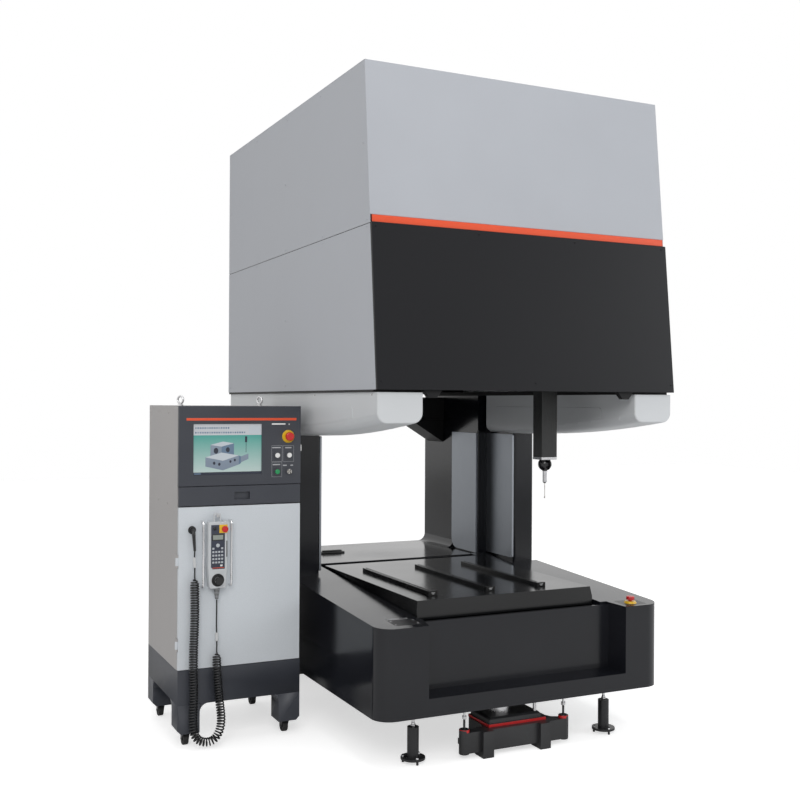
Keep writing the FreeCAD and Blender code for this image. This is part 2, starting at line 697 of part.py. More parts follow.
def make_beam_cover(shift, column_inner):
    """Sheet trough round the right-hand beam, open above and round the column."""
    low, high = COVER_INNER + shift, COVER_OUTER + shift

    def trough(inset, top):
        blank = beam_blank(COVER_FRONT + inset, BASE_REAR, (low + inset, high - inset), top,
                           COVER_CLEARANCE - inset)
        below = [edge for edge in blank.Edges if edge.BoundBox.ZMax < BEAM_TOP - 1]
        folds = [edge for edge in below if edge.BoundBox.YLength > 50]
        blank = blank.makeFillet(COVER_EDGE - inset, folds)
        nose = COVER_FRONT + inset + 0.1
        front = [edge for edge in blank.Edges
                 if edge.BoundBox.YMax < nose and edge.BoundBox.ZMin < BEAM_TOP - 1]
        return blank.makeFillet(COVER_NOSE - inset, front)

    shell = trough(0, BEAM_TOP).cut(trough(COVER_SHEET, BEAM_TOP + 10))
    field = prism("yz", rectangle((EMBOSS_FRONT, EMBOSS_REAR), (COLUMN_TOP - 90, EMBOSS_TOP), 20),
                  low - EMBOSS_RELIEF, high + EMBOSS_RELIEF)
    band = beam_blank(COVER_FRONT, COVER_REAR_END, (low - EMBOSS_RELIEF, high + EMBOSS_RELIEF),
                      BEAM_TOP, -COVER_EDGE)
    inside = block((low + 1, high - 1), (0, BASE_REAR), (COLUMN_TOP - 100, BEAM_TOP))
    raised = field.common(band).cut(inside)
    shell = fused([shell] + raised.Solids)
    column = prism("xy", column_plan(column_inner, TOUCH_GAP), COLUMN_TOP - 20, COLUMN_TOP + 10)
    behind = block((low - 10, COLUMN_INNER_RIGHT), (COVER_REAR_END, BASE_REAR + 1),
                   (COLUMN_TOP - 20, BEAM_TOP + 1))
    ends = block((low - 10, high + 10), (BASE_REAR - COVER_SHEET - 1, BASE_REAR + 1),
                 (COLUMN_TOP - 20, BEAM_TOP + 1))
    return shell.cut([column, behind, ends])


def make_cross_beam():
    """Hollow beam that ties the columns together at the rear, with a gusset at each end."""
    y = (CROSS_BEAM_FRONT, CROSS_BEAM_FRONT + CROSS_BEAM_DEPTH)
    z = (CROSS_BEAM_BOTTOM, CROSS_BEAM_TOP)
    wall, half = CROSS_BEAM_WALL, COLUMN_REAR_INNER
    outer = prism("yz", rectangle(y, z, 10), -half, half)
    core = rectangle((y[0] + wall, y[1] - wall), (z[0] + wall, z[1] - wall), 4)
    corner = [(half, z[0] - GUSSET_DROP), (half, z[0]), (half - GUSSET_REACH, z[0])]
    gussets = both_sides(prism("xz", corner, y[0] + 10, y[1] - 10))
    return group([outer.cut(prism("yz", core, -half, half))] + gussets)


def guide_blank(height, width):
    """Rail section: waisted sides, in (across, up) from the middle of its foot."""
    half, waist = width / 2, width * 0.36
    return [(-half, 0), (half, 0), (half, height * 0.35), (waist, height * 0.5), (waist, height * 0.68),
            (half, height * 0.82), (half, height), (-half, height), (-half, height * 0.82),
            (-waist, height * 0.68), (-waist, height * 0.5), (-half, height * 0.35)]


def make_guide(height, width, length):
    """Guide rail along +Y from the origin, foot down."""
    return prism("xz", guide_blank(height, width), 0, length)


def make_guide_block(rail_height, rail_width, width, length, top, bottom):
    """Bearing block astride a rail along +Y, centred on the origin."""
    half, slot = width / 2, rail_width / 2 + TOUCH_GAP
    ceiling = rail_height + TOUCH_GAP
    profile = [(-half, bottom, 3), (-slot, bottom), (-slot, ceiling), (slot, ceiling), (slot, bottom),
               (half, bottom, 3), (half, top, 3), (-half, top, 3)]
    return prism("xz", profile, -length / 2, length / 2)


def placed(shape, position, turns=()):
    """Copy of a shape turned about the origin by each (axis, degrees), then moved."""
    copy = shape.copy()
    for axis, degrees in turns:
        copy.rotate(Vector(0, 0, 0), Vector(*axis), degrees)
    copy.translate(Vector(*position))
    return copy


# ---------------------------------------------------------------- enclosure
def make_frame():
    """Welded tube frame: every post and rail is a straight piece of its own."""
    low, high = FLANGE_TOP, ENCLOSURE_TOP - PANEL_SHEET
    tube_x = (HALF - PANEL_SHEET - FRAME_TUBE, HALF - PANEL_SHEET)
    front, back = PANEL_SHEET, PANEL_SHEET + FRAME_TUBE
    rear = (ENCLOSURE_REAR - PANEL_SHEET - FRAME_TUBE, ENCLOSURE_REAR - PANEL_SHEET)
    mid = (FRAME_MID_POST, FRAME_MID_POST + FRAME_TUBE)
    seam = (PANEL_SEAM - FRAME_TUBE / 2, PANEL_SEAM + FRAME_TUBE / 2)
    levels = ((low, low + FRAME_TUBE), seam, (high - FRAME_TUBE, high))
    side = [lean_plate(tube_x, (low, high), -front, back), block(tube_x, rear, (low, high)),
            block(tube_x, mid, (low, high))]
    for level in levels:
        corners = [(front_y(level[0]) + back, level[0]), (mid[0], level[0]), (mid[0], level[1]),
                   (front_y(level[1]) + back, level[1])]
        side.append(prism("yz", corners, *tube_x))
        side.append(block(tube_x, (mid[1], rear[0]), level))
    pieces = [copy for piece in side for copy in both_sides(piece)]
    across = (-tube_x[0], tube_x[0])
    for level in levels:
        pieces.append(lean_plate(across, level, -front, back))
        pieces.append(block(across, rear, level))
    pieces.append(block(across, mid, levels[2]))
    shoulder = low - LUG_CUT / 2
    lug = [(LUG_INNER, low), (LUG_INNER, shoulder), (LUG_INNER + LUG_CUT, LUG_BOTTOM),
           (LUG_OUTER - LUG_CUT, LUG_BOTTOM), (LUG_OUTER, shoulder), (LUG_OUTER, low)]
    behind = front_y(low) + 2 * PANEL_SHEET
    pieces.extend(both_sides(prism("xz", lug, behind, behind + LUG_DEPTH)))
    return group(pieces)


def side_panel(z):
    """Flat side sheet whose front edge follows the lean."""
    rear = ENCLOSURE_REAR - PANEL_SHEET
    corners = [(front_y(z[0]) + PANEL_SHEET, z[0]), (rear, z[0]), (rear, z[1]),
               (front_y(z[1]) + PANEL_SHEET, z[1])]
    return prism("yz", corners, HALF - PANEL_SHEET, HALF)


def make_dark_panel():
    """Pan that stands proud of the front, with folded side and bottom edges."""
    z = (ENCLOSURE_BOTTOM, DARK_PANEL_TOP)
    outer = lean_plate((-HALF, HALF), z, DARK_PANEL_PROUD, PANEL_SHEET)
    hollow = lean_plate((PANEL_SHEET - HALF, HALF - PANEL_SHEET), (z[0] + PANEL_SHEET, z[1] - PANEL_SHEET),
                        DARK_PANEL_PROUD - PANEL_SHEET, PANEL_SHEET)
    return outer.cut(hollow)


def make_enclosure():
    seam = PANEL_JOINT / 2
    top, rear = ENCLOSURE_TOP - PANEL_SHEET, ENCLOSURE_REAR - PANEL_SHEET
    lower = side_panel((ENCLOSURE_BOTTOM, PANEL_SEAM - seam))
    upper = side_panel((PANEL_SEAM + seam, top))
    nodes["enclosure_frame"] = make_frame()
    nodes["side_panels"] = group(both_sides(lower) + both_sides(upper))
    stripe_top = STRIPE_BOTTOM + STRIPE_HEIGHT
    upper_span = (stripe_top + seam, ENCLOSURE_TOP)
    nodes["front_upper_panel"] = lean_plate((-HALF, HALF), upper_span, 0, PANEL_SHEET)
    inset = HALF - STRIPE_END_GAP
    stripe = (STRIPE_BOTTOM, stripe_top)
    nodes["accent_stripe"] = lean_plate((-inset, inset), stripe, STRIPE_PROUD, PANEL_SHEET)
    nodes["front_lower_panel"] = make_dark_panel()
    roof = block((-HALF, HALF), (front_y(ENCLOSURE_TOP) + PANEL_SHEET, rear), (top, ENCLOSURE_TOP))
    upper_back = block((-HALF, HALF), (rear, ENCLOSURE_REAR), (PANEL_SEAM + seam, ENCLOSURE_TOP))
    lower_back = block((-HALF, HALF), (rear, ENCLOSURE_REAR), (ENCLOSURE_BOTTOM, PANEL_SEAM - seam))
    nodes["roof_and_rear_panels"] = group([roof, upper_back, lower_back])


# ---------------------------------------------------------------- bridge, carriage and ram
def y_block_spots():
    centre = X_FACE + BRIDGE_DEPTH / 2
    reach = BRIDGE_FOOT_LENGTH / 2 - BLOCK_LENGTH / 2
    return [(x, y) for x in (-Y_GUIDE_X, Y_GUIDE_X) for y in (centre - reach, centre + reach)]


def make_bridge():
    """Hollow cross beam on two gusseted end legs."""
    centre = X_FACE + BRIDGE_DEPTH / 2
    foot_low = FLANGE_TOP + BLOCK_TOP
    top = BRIDGE_BOTTOM + BRIDGE_HEIGHT
    outer = prism("yz", rectangle((X_FACE, X_FACE + BRIDGE_DEPTH), (BRIDGE_BOTTOM, top), 12),
                  -BRIDGE_HALF_WIDTH, BRIDGE_HALF_WIDTH)
    core = prism("yz", rectangle((X_FACE + BRIDGE_SKIN, X_FACE + BRIDGE_DEPTH - BRIDGE_SKIN),
                                 (BRIDGE_BOTTOM + BRIDGE_SKIN, top - BRIDGE_SKIN), 8),
                 -BRIDGE_HALF_WIDTH, BRIDGE_HALF_WIDTH)
    inner_x = Y_GUIDE_X - BLOCK_WIDTH / 2 - 10
    length = BRIDGE_FOOT_LENGTH / 2
    foot = block((inner_x, BRIDGE_HALF_WIDTH), (centre - length, centre + length),
                 (foot_low, foot_low + BRIDGE_FOOT_PLATE))
    plate_top = foot_low + BRIDGE_FOOT_PLATE
    gusset = [(centre - length, plate_top), (centre + length, plate_top),
              (X_FACE + BRIDGE_DEPTH, BRIDGE_BOTTOM), (X_FACE, BRIDGE_BOTTOM)]
    webs = [prism("yz", gusset, x, x + BRIDGE_LEG_WALL)
            for x in (inner_x, BRIDGE_HALF_WIDTH - BRIDGE_LEG_WALL)]
    legs = [copy for piece in [foot] + webs for copy in both_sides(piece)]
    return fused([outer.cut(core)] + legs)


def x_block_spots():
    rails = (BRIDGE_BOTTOM + X_GUIDE_INSET, BRIDGE_BOTTOM + BRIDGE_HEIGHT - X_GUIDE_INSET)
    reach = CARRIAGE_WIDTH / 2 - BLOCK_LENGTH / 2 + 4
    return [(RAM_X + side * reach, z) for side in (-1, 1) for z in rails]


def make_carriage():
    """Ring casting round the ram: back plate, cheeks and a front wall with windows."""
    top = CARRIAGE_BOTTOM + CARRIAGE_HEIGHT
    inner_x = RAM_WIDTH / 2 + CARRIAGE_RAM_GAP
    inner_front = RAM_Y - RAM_DEPTH / 2 - CARRIAGE_RAM_GAP
    outer_x = inner_x + CARRIAGE_CHEEK
    ring = prism("xy", rectangle((RAM_X - outer_x, RAM_X + outer_x),
                                 (inner_front - CARRIAGE_CHEEK, CARRIAGE_FACE), 8), CARRIAGE_BOTTOM, top)
    well = block((RAM_X - inner_x, RAM_X + inner_x), (inner_front, CARRIAGE_FACE + 1),
                 (CARRIAGE_BOTTOM, top))
    rim = CARRIAGE_RIM
    window = (CARRIAGE_HEIGHT - 3 * rim) / 2
    cuts = [well]
    for level in (CARRIAGE_BOTTOM + rim, CARRIAGE_BOTTOM + 2 * rim + window):
        front = rectangle((RAM_X - inner_x + 20, RAM_X + inner_x - 20), (level, level + window), 16)
        cuts.append(prism("xz", front, inner_front - CARRIAGE_CHEEK - 1, inner_front + 1))
        side = rectangle((inner_front + 18, CARRIAGE_FACE - 18), (level, level + window), 16)
        cuts.append(prism("yz", side, RAM_X - outer_x - 1, RAM_X + outer_x + 1))
    half = CARRIAGE_WIDTH / 2
    plate = prism("xz", rectangle((RAM_X - half, RAM_X + half), (CARRIAGE_BOTTOM, top), 12),
                  CARRIAGE_FACE, CARRIAGE_FACE + CARRIAGE_PLATE)
    return fused([ring.cut(cuts), plate])


def make_carriage_blocks():
    wide = make_guide_block(GUIDE_HEIGHT, GUIDE_WIDTH, BLOCK_WIDTH, BLOCK_LENGTH, BLOCK_TOP, BLOCK_STANDOFF)
    along_x = ((0, 0, 1), -90)
    facing_front = ((1, 0, 0), 90)
    blocks = [placed(wide, (x, X_FACE, z), (along_x, facing_front)) for x, z in x_block_spots()]
    narrow = make_guide_block(Z_GUIDE_HEIGHT, Z_GUIDE_WIDTH, Z_BLOCK_WIDTH, Z_BLOCK_LENGTH, Z_BLOCK_TOP, 4)
    upright = ((1, 0, 0), -90)
    for z in (CARRIAGE_BOTTOM + 60, CARRIAGE_BOTTOM + CARRIAGE_HEIGHT - 140):
        blocks.append(placed(narrow, (RAM_X, RAM_BACK, z), (upright,)))
    return group(blocks)


def make_drive():
    """Z drive behind the carriage plate: gearbox with a vertical motor."""
    back = CARRIAGE_FACE + CARRIAGE_PLATE
    low = BRIDGE_BOTTOM + BRIDGE_HEIGHT + 30
    high = low + GEARBOX_HEIGHT
    half = MOTOR_WIDTH / 2
    box = block((RAM_X - half, RAM_X + half), (back, back + MOTOR_WIDTH), (low, high))
    box = box.makeFillet(8, [edge for edge in box.Edges if edge.BoundBox.ZLength > 50
                             and edge.BoundBox.YMin > back + 1])
    centre_y = back + half
    motor = rod(MOTOR_RADIUS, (RAM_X, centre_y, high), (RAM_X, centre_y, high + MOTOR_LENGTH))
    return fused([box, motor])


def make_ram():
    half_x, half_y = RAM_WIDTH / 2, RAM_DEPTH / 2
    top = RAM_BOTTOM + RAM_LENGTH
    section = rectangle((RAM_X - half_x, RAM_X + half_x), (RAM_Y - half_y, RAM_Y + half_y), RAM_CORNER)
    ram = prism("xy", section, RAM_BOTTOM, top)
    ram = ram.cut(rod(RAM_BORE / 2, (RAM_X, RAM_Y, RAM_BOTTOM), (RAM_X, RAM_Y, top)))
    guide = make_guide(Z_GUIDE_HEIGHT, Z_GUIDE_WIDTH, RAM_LENGTH - 120)
    return group([ram, placed(guide, (RAM_X, RAM_BACK, top - 20), (((1, 0, 0), -90),))])


def make_end_plate():
    half_x, half_y = RAM_WIDTH / 2 + 1, RAM_DEPTH / 2 + 1
    section = rectangle((RAM_X - half_x, RAM_X + half_x), (RAM_Y - half_y, RAM_Y + half_y), 4)
    return prism("xy", section, RAM_BOTTOM - END_PLATE, RAM_BOTTOM)


def make_head_rotor():
    """Turning half of the head: a slotted ball under a neck, with the tilt pin across the slot."""
    centre = (RAM_X, RAM_Y, HEAD_Z)
    neck_top = RAM_BOTTOM - END_PLATE
    ball = Part.makeSphere(HEAD_RADIUS, Vector(*centre))
    ball = ball.common(block((RAM_X - 50, RAM_X + 50), (RAM_Y - 50, RAM_Y + 50),
                             (HEAD_Z - 50, neck_top - 5)))
    neck = rod(NECK_RADIUS, (RAM_X, RAM_Y, HEAD_Z + 8), (RAM_X, RAM_Y, neck_top))
    slot = block((RAM_X - HEAD_SLOT / 2, RAM_X + HEAD_SLOT / 2), (RAM_Y - 50, RAM_Y + 50),
                 (HEAD_Z - 50, neck_top - HEAD_BRIDGE))
    reach = HEAD_RADIUS - 3
    pin = rod(PIVOT_RADIUS, (RAM_X - reach, RAM_Y, HEAD_Z), (RAM_X + reach, RAM_Y, HEAD_Z))
    return fused([fused([ball, neck]).cut(slot), pin])


def make_head_tilt():
    """Tilting hub in the slot, with the nose that carries the probe."""
    half = HEAD_SLOT / 2 - TOUCH_GAP
    hub = rod(HEAD_HUB_RADIUS, (RAM_X - half, RAM_Y, HEAD_Z), (RAM_X + half, RAM_Y, HEAD_Z))
    nose = rod(PROBE_RADIUS, (RAM_X, RAM_Y, HEAD_Z), (RAM_X, RAM_Y, HEAD_Z - HEAD_RADIUS))
    bore = rod(PIVOT_RADIUS + PIN_GAP, (RAM_X - half - 1, RAM_Y, HEAD_Z), (RAM_X + half + 1, RAM_Y, HEAD_Z))
    return fused([hub, nose]).cut(bore)


def make_probe():
    """Touch probe body: a stepped cylinder with a tapered mouth."""
    top = HEAD_Z - HEAD_RADIUS
    taper = 6
    points = [Vector(0, 0, 0), Vector(PROBE_RADIUS, 0, 0), Vector(PROBE_RADIUS, 0, -3),
              Vector(PROBE_RADIUS - 1, 0, -3), Vector(PROBE_RADIUS - 1, 0, taper - PROBE_LENGTH),
              Vector(STYLUS_RADIUS + 2, 0, -PROBE_LENGTH), Vector(0, 0, -PROBE_LENGTH), Vector(0, 0, 0)]
    body = Part.Face(Part.makePolygon(points)).revolve(Vector(0, 0, 0), Vector(0, 0, 1), 360)
    return placed(Part.Solid(body.Shells[0]) if body.ShapeType != "Solid" else body, (RAM_X, RAM_Y, top))


def make_stylus():
    top = HEAD_Z - HEAD_RADIUS - PROBE_LENGTH
    tip = top - STYLUS_LENGTH
    stem = rod(STYLUS_RADIUS, (RAM_X, RAM_Y, tip + STYLUS_BALL), (RAM_X, RAM_Y, top))
    ball = Part.makeSphere(STYLUS_BALL, Vector(RAM_X, RAM_Y, tip + STYLUS_BALL))
    return fused([stem, ball])


# ---------------------------------------------------------------- supports and base fittings
def make_foot(x, y):
    """Safety foot: housing on a flange, three levelling bolts and the jacking rod."""
    flange_bottom = FOOT_BODY_BOTTOM - FOOT_FLANGE / 2
    pieces = [rod(FOOT_FLANGE_RADIUS, (x, y, flange_bottom), (x, y, flange_bottom + FOOT_FLANGE)),
              rod(FOOT_BODY_RADIUS, (x, y, flange_bottom), (x, y, FOOT_BODY_TOP)),
              rod(FOOT_ROD_RADIUS, (x, y, FOOT_BODY_TOP), (x, y, BASE_BOTTOM))]
    for index in range(FOOT_BOLTS):
        turn = 2 * math.pi * index / FOOT_BOLTS - math.pi / 2
        reach = FOOT_FLANGE_RADIUS - 2 * FOOT_BOLT_RADIUS
        spot = (x + reach * math.cos(turn), y + reach * math.sin(turn))
        pieces.append(rod(FOOT_BOLT_RADIUS, spot + (0,), spot + (flange_bottom + FOOT_FLANGE + 8,)))
    return fused(pieces)


def make_cradle(x, y):
    """Isolator: a front beam between two posts, a spring housing behind it, and its plate."""
    half, r = CRADLE_LENGTH / 2, CRADLE_BEAM / 2
    back, depth = y + CRADLE_BEAM, y + CRADLE_DEPTH
    beam = block((x - half + r, x + half - r), (y, back), (CRADLE_BOTTOM, CRADLE_TOP))
    low, high = (x + spot for spot in SPRING_SPAN)
    flare = SPRING_FLARE
    plan = [(low - flare, back - 2), (high + flare, back - 2), (high + flare * 0.3, back + flare * 0.3),
            (high, back + flare, 20), (high, depth, 20), (low, depth, 20), (low, back + flare, 20),
            (low - flare * 0.3, back + flare * 0.3)]
    pieces = [beam, prism("xy", plan, CRADLE_BOTTOM, CRADLE_TOP)]
    for side in (x - half + r, x + half - r):
        post = rod(r, (side, y + r, CRADLE_BOTTOM - 6), (side, y + r, CRADLE_TOP + CRADLE_POST_RISE))
        pieces.append(post.makeFillet(4, [edge for edge in post.Edges if edge.BoundBox.ZLength < 1]))
    for foot in CRADLE_FEET:
        span = (x + foot - CRADLE_FOOT_WIDTH / 2, x + foot + CRADLE_FOOT_WIDTH / 2)
        front = y - CRADLE_FOOT_PROUD
        pieces.append(block(span, (front, front + CRADLE_FOOT_DEPTH), (0, CRADLE_TOP)))
        pieces.append(block(span, (depth - CRADLE_FOOT_DEPTH, depth - 4), (0, CRADLE_BOTTOM + 1)))
    cradle = fused(pieces)
    low, high = (x + spot for spot in SPRING_PLATE_SPAN)
    top = CRADLE_TOP + SPRING_PLATE
    front = y + 27
    plate = block((low, high), (front, depth), (CRADLE_TOP, top))
    head = block((low + 6, high - 24), (front + 6, depth - 12), (top, SPRING_HEAD_TOP))
    head = head.makeChamfer(8, [edge for edge in head.Edges if edge.BoundBox.ZMin > SPRING_HEAD_TOP - 1])
    middle = (low + high) / 2
    pedestal = rod(LEVEL_TAB / 2, (middle - 40, (front + depth) / 2, SPRING_HEAD_TOP),
                   (middle - 40, (front + depth) / 2, BASE_BOTTOM))
    spot = (high - 44, front + 24)
    stud = rod(LEVEL_NUT * 0.7, spot + (SPRING_HEAD_TOP,), spot + (BASE_BOTTOM,))
    units = [cradle, plate, fused([head, pedestal, stud])]
    for side in (x - half + r, x + half - r):
        units.extend(level_screw(side, y + r))
    return units


def level_screw(x, y):
    """Levelling screw on a post, its two nuts, and the tab under the base that it meets."""
    low, tab = CRADLE_TOP + CRADLE_POST_RISE, BASE_BOTTOM - 5
    screw = rod(LEVEL_SCREW_RADIUS, (x, y, low), (x, y, tab))
    nuts = [hexagon(x, y, LEVEL_NUT, (tab - 45, tab - 33)), hexagon(x, y, LEVEL_NUT, (tab - 12, tab))]
    half = LEVEL_TAB / 2
    plate = block((x - half, x + half), (y - 50, y + 20), (tab, BASE_BOTTOM))
    return [fused([screw] + nuts), plate]


def hexagon(x, y, radius, z):
    corners = [(x + radius * math.cos(turn * math.pi / 3), y + radius * math.sin(turn * math.pi / 3))
               for turn in range(6)]
    return prism("xy", corners, *z)


def stop_button(cap_bottom):
    """Mushroom cap on a stem, along +Z above a face at z = 0."""
    r, h = STOP_CAP_RADIUS, STOP_CAP_HEIGHT
    cap = rod(r, (0, 0, cap_bottom), (0, 0, cap_bottom + h))
    rim = [edge for edge in cap.Edges if edge.BoundBox.ZMin > cap_bottom + h - 0.1]
    stem = rod(STOP_STEM_RADIUS, (0, 0, COLLAR_HEIGHT - STOP_STEM_LENGTH + STOP_TRAVEL), (0, 0, cap_bottom))
    return fused([cap.makeFillet(5, rim), stem])


def stop_collar():
    """Yellow ring round the stop button's stem, above a face at z = 0."""
    outer = Part.makeCone(COLLAR_RADIUS, COLLAR_RADIUS - 5, COLLAR_HEIGHT)
    return outer.cut(rod(STOP_STEM_RADIUS + PIN_GAP, (0, 0, -1), (0, 0, COLLAR_HEIGHT + 1)))


def stem_hole(depth):
    return rod(STOP_STEM_RADIUS + PIN_GAP, (0, 0, -depth), (0, 0, 1))


FRONT_FACING = (((1, 0, 0), 90),)      # turns a part that points up so that it points to the front


def stop_place():
    """The stop switch stands square to the sloping rail."""
    slope = math.degrees(math.atan2(BASE_RAIL_REAR_TOP - BASE_FRONT_TOP, DECK_FRONT - BASE_FRONT))
    return rail_height(STOP_Y), (((1, 0, 0), slope),)


def make_base_fittings(base):
    """Corner plates let into the rails, and the front stop switch. Returns the drilled base."""
    height, turn = stop_place()
    half = DECK_PLATE_SIZE / 2
    slab = block((-half, half), (-half + 14, half - 14), (-DECK_PLATE, 0))
    slab = slab.makeFillet(10, [edge for edge in slab.Edges if edge.BoundBox.ZLength > 1])
    right = placed(slab.cut(stem_hole(DECK_PLATE + 1)), (STOP_X, STOP_Y, height), turn)
    service = (SERVICE_PLATE_X, SERVICE_PLATE_Y, rail_height(SERVICE_PLATE_Y))
    left = placed(slab, service, turn)
    pockets = []
    for x, y, z in ((STOP_X, STOP_Y, height), service):
        pockets.append(placed(slab, (x, y, z), turn))
        pockets.append(placed(slab, (x, y, z + DECK_PLATE), turn))
    well = placed(stem_hole(STOP_STEM_LENGTH + 6), (STOP_X, STOP_Y, height), turn)
    nodes["deck_plates"] = group([right, left])
    button = stop_button(COLLAR_HEIGHT + STOP_CAP_GAP)
    nodes["base_stop_button"] = placed(button, (STOP_X, STOP_Y, height), turn)
    base_collar = placed(stop_collar(), (STOP_X, STOP_Y, height), turn)
    x, z = CABINET_STOP
    cabinet_collar = placed(stop_collar(), (CABINET_X + x, CABINET_Y, z), FRONT_FACING)
    nodes["stop_collars"] = group([base_collar, cabinet_collar])
    return base.cut(pockets + [well])


# ---------------------------------------------------------------- control cabinet (own frame)
def in_cabinet(shape):
    return placed(shape, (CABINET_X, CABINET_Y, 0))


def make_plinth():
    """Sheet tray on four legs; curved corner pieces join each leg to the tray's edge."""
    w, d, s = CABINET_WIDTH, CABINET_DEPTH, CABINET_SHEET
    tray = block((0, w), (0, d), (ARCH_TOP, PLINTH_TOP))
    pieces = [tray.cut(block((s, w - s), (s, d - s), (ARCH_TOP + s, PLINTH_TOP + 1)))]
    leg = block((0, LEG_WIDTH), (0, LEG_DEPTH), (LEG_BOTTOM, ARCH_TOP))
    outer = [edge for edge in leg.Edges if edge.BoundBox.ZMax < LEG_BOTTOM + 1 and edge.BoundBox.XMax < 1]
    corner = [leg.makeChamfer(LEG_CHAMFER, outer)]
    corner.extend(curved_corner("xz", LEG_WIDTH, 0, LEG_DEPTH))
    corner.extend(curved_corner("yz", LEG_DEPTH, 0, LEG_WIDTH))
    for piece in corner:
        right = piece.mirror(Vector(w / 2, 0, 0), Vector(1, 0, 0))
        for copy in (piece, right):
            pieces.extend([copy, copy.mirror(Vector(0, d / 2, 0), Vector(0, 1, 0))])
    return group(pieces)


def curved_corner(plane, side, low, high):
    """Concave corner under the tray's edge beside a leg, in wedges that each stay nearly straight."""
    r, wedges = ARCH_CORNER, 3
    step = math.pi / 2 / wedges
    strips = []
    for index in range(wedges):
        turns = [math.pi - index * step, math.pi - (index + 0.5) * step, math.pi - (index + 1) * step]
        rim = [on_plane(plane, side + r + r * math.cos(turn), ARCH_TOP - r + r * math.sin(turn), low)
               for turn in turns]
        tip = on_plane(plane, side, ARCH_TOP, low)
        edges = [Part.Arc(*rim).toShape()]
        edges += [Part.LineSegment(a, b).toShape() for a, b in ((rim[2], tip), (tip, rim[0]))
                  if (a - b).Length > 1e-6]
        strips.append(Part.Face(Part.Wire(edges)).extrude(on_plane(plane, 0, 0, high - low)))
    return strips


def hinge_axis():
    return -HINGE_OUT, HINGE_IN


def hinge_spots():
    return HINGE_HEIGHTS


def make_shell():
    """Sheet cabinet, open at the front, with two shelves, drawer runners and hinge pins."""
    w, d, s = CABINET_WIDTH, CABINET_DEPTH, CABINET_SHEET
    y0 = DOOR_SET_BACK
    outer = block((0, w), (y0, d), (PLINTH_TOP, CABINET_HEIGHT))
    bays = []
    roof = CABINET_HEIGHT - s
    for low, high in ((PLINTH_TOP, DRAWER_BOTTOM), (DRAWER_BOTTOM, PANEL_BOTTOM), (PANEL_BOTTOM, roof)):
        bays.append(block((s, w - s), (y0 - 1, d - s), (low + s, high)))
    shell = outer.cut(bays)
    pieces = [shell]
    runner_z = DRAWER_BOTTOM + s
    reach = s + RUNNER_WIDTH - TOUCH_GAP
    for x in ((s, reach), (w - reach, w - s)):
        pieces.append(block(x, (y0 + 4, d - s), (runner_z, runner_z + RUNNER_HEIGHT)))
    hx, hy = hinge_axis()
    for z in hinge_spots():
        half = HINGE_LENGTH / 2
        pieces.append(rod(HINGE_PIN, (hx, hy, z - half - 10), (hx, hy, z + half + 10)))
        for low, high in ((z - half - 10, z - half - TOUCH_GAP), (z + half + TOUCH_GAP, z + half + 10)):
            pieces.append(rod(HINGE_KNUCKLE, (hx, hy, low), (hx, hy, high)))
            pieces.append(block((-3, 0), (hy, y0 + 26), (low, high)))
    return fused(pieces)


def make_door():
    """Door panel with its hinge knuckles and a shallow edge fold."""
    w = CABINET_WIDTH
    z = (PLINTH_TOP + DOOR_GAP, DRAWER_BOTTOM - DOOR_GAP)
    panel = block((1, w - 2), (0, DOOR_SHEET), z)
    panel = panel.makeFillet(2, [edge for edge in panel.Edges if edge.BoundBox.YMax < 0.1])
    hx, hy = hinge_axis()
    knuckles, clearances = [], []
    for height in hinge_spots():
        half = HINGE_LENGTH / 2
        knuckle = rod(HINGE_KNUCKLE, (hx, hy, height - half), (hx, hy, height + half))
        leaf = block((hx, 4), (hy - 3, hy), (height - half, height + half))
        knuckles.append(fused([knuckle, leaf]))
        bore = rod(HINGE_PIN + PIN_GAP, (hx, hy, height - half - 1), (hx, hy, height + half + 1))
        clearances.append(bore)
        for low, high in ((height - half - 12, height - half), (height + half, height + half + 12)):
            clearances.append(rod(HINGE_KNUCKLE + 1, (hx, hy, low), (hx, hy, high)))
    return fused([panel] + knuckles).cut(clearances)


def make_control_panel():
    """Dark fascia with the screen window and the bores of its switches."""
    w = CABINET_WIDTH
    z = (PANEL_BOTTOM + DOOR_GAP, CABINET_HEIGHT)
    skin = block((0, w), (0, DOOR_SET_BACK), z)
    skin = skin.makeFillet(3, [edge for edge in skin.Edges if edge.BoundBox.YMax < 0.1])
    hollow = block((15, w - 15), (6, DOOR_SET_BACK + 1), (z[0] + 10, z[1] - 12))
    window = rectangle((SCREEN_LEFT, SCREEN_LEFT + SCREEN_WIDTH),
                       (SCREEN_BOTTOM, SCREEN_BOTTOM + SCREEN_HEIGHT), 3)
    cuts = [hollow, prism("xz", window, -1, 7)]
    cuts.append(placed(stem_hole(10), (CABINET_STOP[0], 0, CABINET_STOP[1]), FRONT_FACING))
    for x, height in list(BUTTONS.values()) + [KEY_SWITCH]:
        cuts.append(rod(BUTTON_RADIUS + PIN_GAP, (x, -1, height), (x, 8, height)))
    panel = skin.cut(cuts)
    bezels = [rod(LAMP_RADIUS, (LAMP[0], -2, LAMP[1]), (LAMP[0], 1, LAMP[1]))]
    for x, height in list(BUTTONS.values()) + [KEY_SWITCH]:
        ring = rod(BEZEL_RADIUS, (x, -BEZEL_HEIGHT, height), (x, 1, height))
        bezels.append(ring.cut(rod(BUTTON_RADIUS + PIN_GAP, (x, -9, height), (x, 8, height))))
    return fused([panel] + bezels)


def make_screen():
    """Display module behind the window, standing on the shelf's brackets."""
    x = (SCREEN_LEFT - 8, SCREEN_LEFT + SCREEN_WIDTH + 8)
    z = (SCREEN_BOTTOM - 8, SCREEN_BOTTOM + SCREEN_HEIGHT + 8)
    return block(x, (6, 6 + SCREEN_DEPTH), z)


